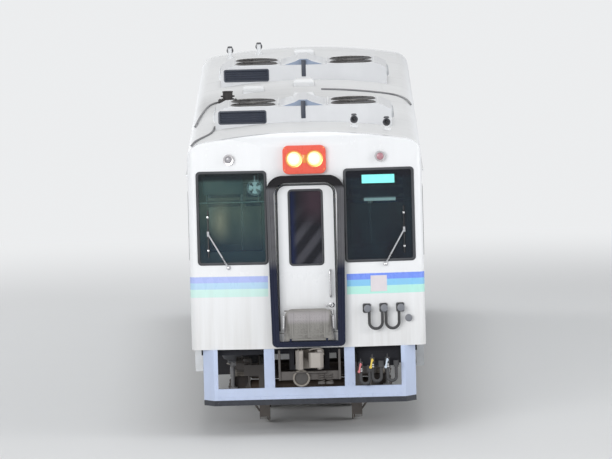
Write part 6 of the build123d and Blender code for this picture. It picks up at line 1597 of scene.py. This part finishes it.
# Bogies: springs, dampers, pipes and plates, drawn at the car's middle and carried to both bogies
bogie = {"axle": wheelbase / 2, "journal": 0.815, "boxFace": 0.9635, "pipeX": 0.902}


def fourBoxes(shape):
    return bothSides(joined(moved(shape, y=bogie["axle"]), moved(mirroredY(shape), y=-bogie["axle"])))


def springCoils():
    # a helix of three and a quarter turns between two seats
    coil = tubeAlong(helix(0.090, 3.25, 0.566, 0.628, 92), 0.0095, 8)
    seats = [moved(band(0.074, 0.104, 0, 0.006, 26), z=z) for z in (0.551, 0.633)]
    return fourBoxes(moved(joined(coil, *seats), bogie["journal"]))


def boxCovers():
    # a stepped cover with eight bolts and a plug on each axle box, and ribs down the box's face
    cover = lathe([(0, 0), (0.098, 0), (0.098, 0.008), (0.072, 0.014), (0.05, 0.014), (0.044, 0.022),
                   (0, 0.022)], 30)
    bolts = copiesAt(boltShape(0.010, 0.008), roundPlaces(0.084, 8, pi / 8, 0.008))
    plug = moved(boltShape(0.014, 0.010), z=0.021)
    ribs = bothSides(roundBox((0.112, -0.11, -0.03), (0.124, 0.11, -0.012), 0.003))
    return fourBoxes(outwardX(joined(cover, bolts, plug, ribs), (bogie["boxFace"], 0, axleHeight)))


def axleDampers():
    # an upright oil damper outside each axle box: dust tube over the body, an eye at each end and its bracket
    tube = lathe([(0, 0), (0.018, 0), (0.024, 0.01), (0.024, 0.13), (0.031, 0.13), (0.031, 0.235),
                  (0.02, 0.25),
                  (0, 0.25)], 20)
    eye = outwardX(band(0, 0.022, -0.03, 0.03, 16))
    lower = roundBox((-0.055, -0.075, -0.012), (0.012, 0.02, 0.012), 0.005)
    upper = roundBox((-0.06, -0.02, -0.014), (0.01, 0.02, 0.03), 0.005)
    damper = joined(moved(tube, z=0.02), eye, lower, moved(joined(eye, upper), z=0.285))
    return fourBoxes(moved(damper, 0.935, 0.195, 0.43))


def beamFittings():
    # an air pipe that follows the cranked beam with its clips, a blank plate and lifting eyes
    half = [(1.14, 0.70), (0.78, 0.70), (0.62, 0.66), (0.45, 0.575)]
    route = [(bogie["pipeX"], -y, z) for y, z in half] + [(bogie["pipeX"], y, z) for y, z in half[::-1]]
    clip = roundBox((0.889, -0.012, -0.014), (0.914, 0.012, 0.014), 0.003)
    spots = ((1.0, 0.70), (0.75, 0.697), (0.3, 0.572))
    clips = copiesAt(clip, [(0, s * y, z) for s in (-1, 1) for y, z in spots])
    plate = roundBox((0.888, -0.09, 0.505), (0.893, 0.09, 0.548), 0.002, 1)
    eye = outwardX(ringOn(0.05, 0.05, 0.024, circleProfile(0.008, 8), steps=4), (bogie["journal"], 0, 0.79))
    return bothSides(joined(bentTube(route, 60, 0.0085, 8), clips, plate, alongY(eye, (-1.12, 1.12))))


def sandPipes():
    # from a hopper on the end of each side beam down to just ahead of the outer wheel
    hopper = roundBox((0.70, 1.18, 0.66), (0.80, 1.275, 0.80), 0.02)
    route = smoothPath([(0.74, 1.27, 0.68), (0.735, 1.345, 0.60), (0.72, 1.385, 0.42), (0.665, 1.385, 0.24),
                        (0.575, 1.34, 0.12)], 28)
    return bothSides(joined(hopper, tubeAlong(route, 0.0125, 8), tubeAlong(route[-2:], 0.018)))


def springRings():
    # a clamp ring at the foot of each air spring, and its levelling rod
    ring = lathe([(0.186, 0), (0.20, 0), (0.203, 0.006), (0.20, 0.012), (0.186, 0.012)], 32)
    rod = [(0.93, 0.30, 0.62), (0.94, 0.30, 0.86)]
    ends = copiesAt(lathe([(0, -0.016), (0.016, -0.01), (0.018, 0), (0.016, 0.01), (0, 0.016)], 12), rod)
    arm = roundBox((0.86, 0.286, 0.605), (0.935, 0.314, 0.622), 0.004)
    return bothSides(joined(moved(ring, bogie["journal"], 0, 0.628), tubeAlong(rod, 0.008, 8), ends, arm))


for end, station, turn in (("front", -bogieCentre, mirroredY), ("rear", bogieCentre, same)):
    for name, shape, material, slot in (
        ("springCoils_", springCoils(), couplerSteel, "bogie_paint"),
        ("axleBoxCovers_", boxCovers(), bogiePaint, "bogie_paint"),
        ("axleDampers_", axleDampers(), conduitGrey, "dark_steel"),
        ("beamFittings_", beamFittings(), bogiePaint, "bogie_paint"),
        ("sandPipes_", turn(sandPipes()), bogiePaint, "bogie_paint"),
        ("airSpringRings_", springRings(), couplerSteel, "dark_steel"),
    ):
        makePiece(name + end, moved(shape, y=station), material, "bogie_" + end)
print("stage: bogies fitted")


# Inside: stuffed cushions, blown up once for each kind and carried to every seat
saloon = {"pitch": 1.59, "bays": 4, "back": 0.792, "depth": 0.45, "backDepth": 0.09, "inner": 0.322,
          "outer": 1.282, "floor": 1.217, "seatTop": 1.637, "backTop": 2.337, "benchInner": 0.832,
          "benchBackTop": 2.047,
          "benchStart": 3.24, "benchLength": 1.35, "padFoot": 1.497, "frameFoot": 1.45, "plinthTop": 1.495}
cushionSettings = {"voxel": 0.022, "pressure": 4.0, "frames": 20, "cap": 0.014, "inset": 0.010,
                   "stuffing": 0.8, "sharp": 75}


def meshShape(mesh):
    # a mesh of four-sided faces read back into arrays
    points = np.empty(len(mesh.vertices) * 3)
    mesh.vertices.foreach_get("co", points)
    corners = np.empty(len(mesh.loops), dtype=int)
    mesh.loops.foreach_get("vertex_index", corners)
    return points.reshape(-1, 3), corners.reshape(-1, 4)


def stuffedPad(low, high):
    # a block cut a little small, remeshed and blown up by Cloth, then held in its box: min(max(p, low), high)
    s = cushionSettings
    low, high = np.array(low, float), np.array(high, float)
    mesh = bpy.data.meshes.new("padForm")
    points, faces = roundBox(low + s["inset"], high - s["inset"], 0.03, 3)
    mesh.from_pydata(points.tolist(), [], faces.tolist())
    form = linkNew("padForm", mesh)
    remesh = form.modifiers.new("even", "REMESH")
    remesh.mode, remesh.voxel_size = "VOXEL", s["voxel"]
    fine = bpy.data.meshes.new_from_object(form.evaluated_get(bpy.context.evaluated_depsgraph_get()))
    form.modifiers.clear()
    form.data = fine
    before, faces = meshShape(fine)
    after = before
    cloth = form.modifiers.new("stuffing", "CLOTH")
    cloth.settings.use_pressure = True
    cloth.settings.uniform_pressure_force = s["pressure"]
    cloth.settings.effector_weights.gravity = 0
    cloth.point_cache.frame_start, cloth.point_cache.frame_end = 1, s["frames"]
    for step in range(1, s["frames"] + 1):
        bpy.context.scene.frame_set(step)
    swollen = form.evaluated_get(bpy.context.evaluated_depsgraph_get()).to_mesh()
    after = meshShape(swollen)[0]
    bpy.context.scene.frame_set(1)
    shift = after - before
    length = np.linalg.norm(shift, axis=1, keepdims=True)
    shift *= np.minimum(1, s["cap"] / np.maximum(length, 1e-9))
    bpy.data.objects.remove(form)
    return np.clip(before + shift, low, high), faces


def makePad(name, pad, cloth, replaced=("seats",)):
    piece = makePiece(name, pad, cloth, replaced=replaced, sharp=cushionSettings["sharp"])


def facingPair(shape):
    # a seat block and the one that faces it across a bay
    back = moved(shape, y=-saloon["back"])
    return joined(back, mirroredY(back))


def seatPlaces(shape):
    # the two seats of a block side by side, then the block facing it
    return facingPair(copiesAt(shape, [(0, 0, 0), (seatWidth, 0, 0)]))


s = saloon
seatWidth = (s["outer"] - s["inner"]) / 2
seatEdges = s["inner"] + 0.004, s["inner"] + seatWidth - 0.004
squabLow = (seatEdges[0], s["backDepth"] - 0.01, s["padFoot"])
squabHigh = (seatEdges[1], s["depth"] + 0.004, s["seatTop"])
squab = stuffedPad(squabLow, squabHigh)
backPad = stuffedPad((seatEdges[0], 0.016, s["seatTop"] - 0.02),
                     (seatEdges[1], s["backDepth"], s["backTop"] - 0.012))
benchEnd = s["benchLength"] - 0.01
benchPad = stuffedPad((s["benchInner"], 0.01, s["padFoot"]), (s["outer"] - 0.08, benchEnd, s["seatTop"]))
benchBack = stuffedPad((s["outer"] - 0.09, 0.01, s["seatTop"] - 0.02),
                       (s["outer"], benchEnd, s["benchBackTop"]))


def squabWelt():
    # a sewn welt round a cushion's edge
    width, depth = squabHigh[0] - squabLow[0], squabHigh[1] - squabLow[1]
    path = roundedRectPath(width - 0.012, depth - 0.012, 0.03)
    middle = [squabLow[0] + width / 2, squabLow[1] + depth / 2, saloon["seatTop"] - 0.026]
    return tubeAlong(path + middle, 0.005, 6, (0, 0, 1), True)


def seatFrames():
    # a plinth with a heater grille under each pair, a shell behind the backs, end panels and a grab loop
    s = saloon
    inner, outer, foot = s["inner"], s["outer"], s["frameFoot"]
    plinth = roundBox((inner + 0.02, 0.0, s["floor"]), (outer, s["depth"] - 0.05, s["plinthTop"]), 0.012)
    slats = [roundBox((inner + 0.10, s["depth"] - 0.056, z), (outer - 0.06, s["depth"] - 0.044, z + 0.012),
                      0.004)
             for z in np.arange(1.27, 1.45, 0.032)]
    shell = roundBox((inner, 0.0, foot), (outer, 0.016, s["backTop"] - 0.006), 0.007)
    panel = roundBox((inner, 0.0, foot), (inner + 0.014, 0.10, s["backTop"] - 0.10), 0.006)
    loop = bentTube([(inner + 0.01, 0.03, 2.20), (inner + 0.004, 0.05, 2.30), (inner + 0.03, 0.05, 2.328),
                     (inner + 0.14, 0.05, 2.328), (inner + 0.17, 0.045, 2.31)], 20, 0.009)
    length = s["benchLength"]
    bench = roundBox((s["benchInner"] + 0.03, 0, s["floor"]), (outer, length, s["plinthTop"]), 0.012)
    wall = roundBox((outer - 0.016, 0, foot), (outer, length, s["benchBackTop"]), 0.006)
    ends = alongY(roundBox((s["benchInner"], -0.002, foot), (outer, 0.012, 1.86), 0.006), (0, length - 0.01))
    blocks = bothSides(alongY(facingPair(joined(plinth, *slats, shell, panel, loop)), bayStations))
    return joined(blocks, fourPlaces(moved(joined(bench, wall, ends), y=s["benchStart"])))


bayStations = [(bay - 1.5) * saloon["pitch"] for bay in range(saloon["bays"])]
makePiece("seatFrames", seatFrames(), innerPanel, replaced=("seats",))
for bay, station in enumerate(bayStations):
    for side, turn in (("right", same), ("left", mirroredX)):
        for name, pad in (("seatCushions_", squab), ("seatBacks_", backPad)):
            makePad(name + side + "_" + str(bay + 1), turn(moved(seatPlaces(pad), y=station)), seatCloth)
makePiece("seatWelts", bothSides(alongY(seatPlaces(squabWelt()), bayStations)), seatCloth)
benchTurns = {"front_left": turnedHalf, "front_right": mirroredY, "rear_right": same, "rear_left": mirroredX}
for place, turn in benchTurns.items():
    for name, pad in (("benchCushion_", benchPad), ("benchBack_", benchBack)):
        makePad(name + place, turn(moved(pad, y=saloon["benchStart"])), seatCloth)

driverPads = {"driverCushion_": ((0.645, -8.155, 1.610), (1.085, -7.826, 1.712)),
              "driverBack_": ((0.665, -7.838, 1.71), (1.065, -7.748, 2.184))}
for name, corners in driverPads.items():
    pad = stuffedPad(*corners)
    for end, turn in carEnds:
        makePad(name + end, turn(pad), driverCloth, ())

# the desk's top and hood, and its three dials
desk = {"top": 2.037, "hood": -8.617, "dialHeight": 2.11, "dials": (-0.66, -0.83, -1.00)}


def deskControls():
    # a power and a brake handle on round plinths, three dials with bezels on the hood, and a row of keys
    plinth = lathe([(0, 0), (0.045, 0), (0.042, 0.02), (0.02, 0.028), (0, 0.028)], 22)
    arm = bentTube([(0, 0, 0.02), (0, 0.01, 0.10), (0.02, 0.03, 0.13), (0.09, 0.05, 0.135)], 14, 0.010)
    knob = moved(lathe([(0, -0.018), (0.014, -0.014), (0.020, 0), (0.014, 0.014), (0, 0.018)], 18), 0.09,
                 0.05, 0.135)
    handles = copiesAt(joined(plinth, arm, knob), crossing((0.60, 0.98), [-8.46], desk["top"]))
    bezel = lathe([(0.038, 0), (0.046, 0), (0.046, 0.008), (0.041, 0.012), (0.038, 0.006)], 26)
    keys = copiesAt(roundBox((-0.009, -0.009, 0), (0.009, 0.009, 0.008), 0.003, 1),
                    crossing(-np.arange(0.60, 1.08, 0.03), [2.055]))
    hood = joined(copiesAt(bezel, crossing(desk["dials"], [desk["dialHeight"]])), keys)
    return bothEnds(joined(handles, outwardY(hood, (0, desk["hood"], 0), 1)))


def dialFaces():
    # plain white discs
    discs = copiesAt(band(0, 0.038, 0.001, 0.004, 24), crossing(desk["dials"], [desk["dialHeight"]]))
    return bothEnds(outwardY(discs, (0, desk["hood"], 0), 1))


def luggageRacks():
    # five tubes along each side over brackets cranked out from the wall
    runs = []
    for x in (1.00, 1.06, 1.12, 1.18, 1.24):
        z = up(2.98) + (x - 1.0) * 0.08
        runs.append(tubeAlong([(x, -4.55, z), (x, 4.55, z)], 0.008, 8))
    arm = [(x, 0, up(z)) for x, z in ((1.29, 2.90), (1.22, 2.955), (0.99, 2.962), (0.98, 2.995))]
    bracket = sweptAlong(smoothPath(arm, 12), rectProfile(-0.012, 0.012, -0.005, 0.005), (0, 1, 0.01))
    return bothSides(joined(*runs, alongY(bracket, np.linspace(-4.5, 4.5, 9))))


def ceilingLights():
    # a crowned strip under the ceiling on each side: (w sin v, -h cos v)
    profile = arcPoints(1, 7, -pi / 2, pi)[::-1, ::-1] * [0.055, -0.024]
    return bothSides(alongY(sweptAlong([(0.55, -1.1, 0), (0.55, 1.1, 0)], profile), (-4.6, -1.55, 1.55, 4.6),
                            up(3.298)))


def bulkheadGaskets():
    # a gasket round the window behind each driver's seat
    ring = ringOn(0.66, 0.83, 0.05, beadProfile * 0.8, (0.855, 2.527))
    return fourPlaces(joined(outwardY(ring, (0, -7.70, 0)), outwardY(ring, (0, -7.66, 0), 1)))


makeAll(
    ("deskControls", deskControls(), blackPaint, "desk_plastic"),
    ("dialFaces", dialFaces(), whitePlastic, "inner_panel"),
    ("luggageRacks", luggageRacks(), brushed, "bright_steel"),
    ("ceilingLights", ceilingLights(), glowingWhite, "lamp_glass"),
    ("bulkheadGaskets", bulkheadGaskets(), blackRubber, "black_rubber"),
)
print("stage: cabin fitted")


# Studio
studio = {"floorSize": 900.0, "floorColour": (0.74, 0.74, 0.735), "world": 0.5,
          "backdrop": (0.84, 0.85, 0.86),
          "near": 11.5, "far": 23.0}


def makeFloor():
    # paper that takes the shadow near the car and turns into the pale backdrop with distance from it
    half = studio["floorSize"] / 2
    mesh = bpy.data.meshes.new("floorPlane")
    mesh.from_pydata([(-half, -half, 0), (half, -half, 0), (half, half, 0), (-half, half, 0)], [],
                     [(0, 1, 2, 3)])
    k = MaterialKit("floorPaper")
    paper = k.bsdf("Principled", {
        "Base Color": k.mix(k.noise(0.6, 3.0), shaded(studio["floorColour"], 0.985), studio["floorColour"]),
        "Roughness": 0.9,
    })
    glow = k.node("ShaderNodeEmission", {}, {"Color": studio["backdrop"], "Strength": 1.0})
    away = k.rangeOf(k.far(k.x, k.y), studio["near"], studio["far"], interpolation_type="SMOOTHSTEP")
    mesh.materials.append(k.finish(k.blend(away * k.seen(), paper, glow)))
    linkNew("floorPlane", mesh)


def areaLight(name, place, target, size, power):
    lamp = bpy.data.lights.new(name, "AREA")
    lamp.shape = "RECTANGLE"
    lamp.size, lamp.size_y = size
    lamp.energy = power
    thing = linkNew(name, lamp)
    thing.location = place
    thing.rotation_euler = (Vector(target) - Vector(place)).to_track_quat("-Z", "Y").to_euler()


def makeWorld():
    # a cool even light, which the camera, mirrors and glass see as the pale backdrop
    world = bpy.data.worlds.new("paleStudio")
    k = MaterialKit("paleStudio", world)
    light = k.node("ShaderNodeBackground", {}, {"Color": (0.93, 0.96, 1.0), "Strength": studio["world"]})
    pale = k.node("ShaderNodeBackground", {}, {"Color": studio["backdrop"], "Strength": 1.0})
    k.finish(k.blend(k.seen(), light, pale), "World")
    bpy.context.scene.world = world


# The photograph's camera, 128 m before the car's face and 12 m above the rail, brought nearer by a long lens
photo = {"width": 612, "focalPixels": 2010.0, "zoom": 5.35, "distance": 128.0, "height": 12.0, "offset": 0.29,
         "roll": -1.5, "sensor": 36.0, "aim": 2.43}


def makeCamera():
    lens = bpy.data.cameras.new("photoCamera")
    lens.sensor_width = photo["sensor"]
    lens.lens = photo["sensor"] * photo["focalPixels"] * photo["zoom"] / photo["width"]
    lens.clip_start, lens.clip_end = 1.0, 2000.0
    camera = linkNew("photoCamera", lens)
    place = Vector((photo["offset"], -halfLength - photo["distance"], up(photo["height"])))
    target = Vector((0.0, -halfLength, up(photo["aim"])))
    camera.location = place
    turn = (target - place).to_track_quat("-Z", "Y").to_matrix().to_4x4()
    camera.rotation_euler = (turn @ Matrix.Rotation(radians(photo["roll"]), 4, "Z")).to_euler()
    bpy.context.scene.camera = camera


makeFloor()
makeWorld()
for name, place, target, size, power in (
    ("keySoftbox", (-13, -36, 9), (0, -8, 2), (18, 12), 4700.0),
    ("fillSoftbox", (22, -16, 8), (0, -2, 2), (16, 14), 2000.0),
    ("topSoftbox", (0, 2, 22), (0, 0, 0), (10, 24), 1500.0),
    ("backSoftbox", (-20, 24, 9), (0, 3, 2), (16, 12), 2000.0),
):
    areaLight(name, place, target, size, power)
makeCamera()
bpy.context.scene.view_settings.view_transform = "Standard"
print("stage: studio and camera made")
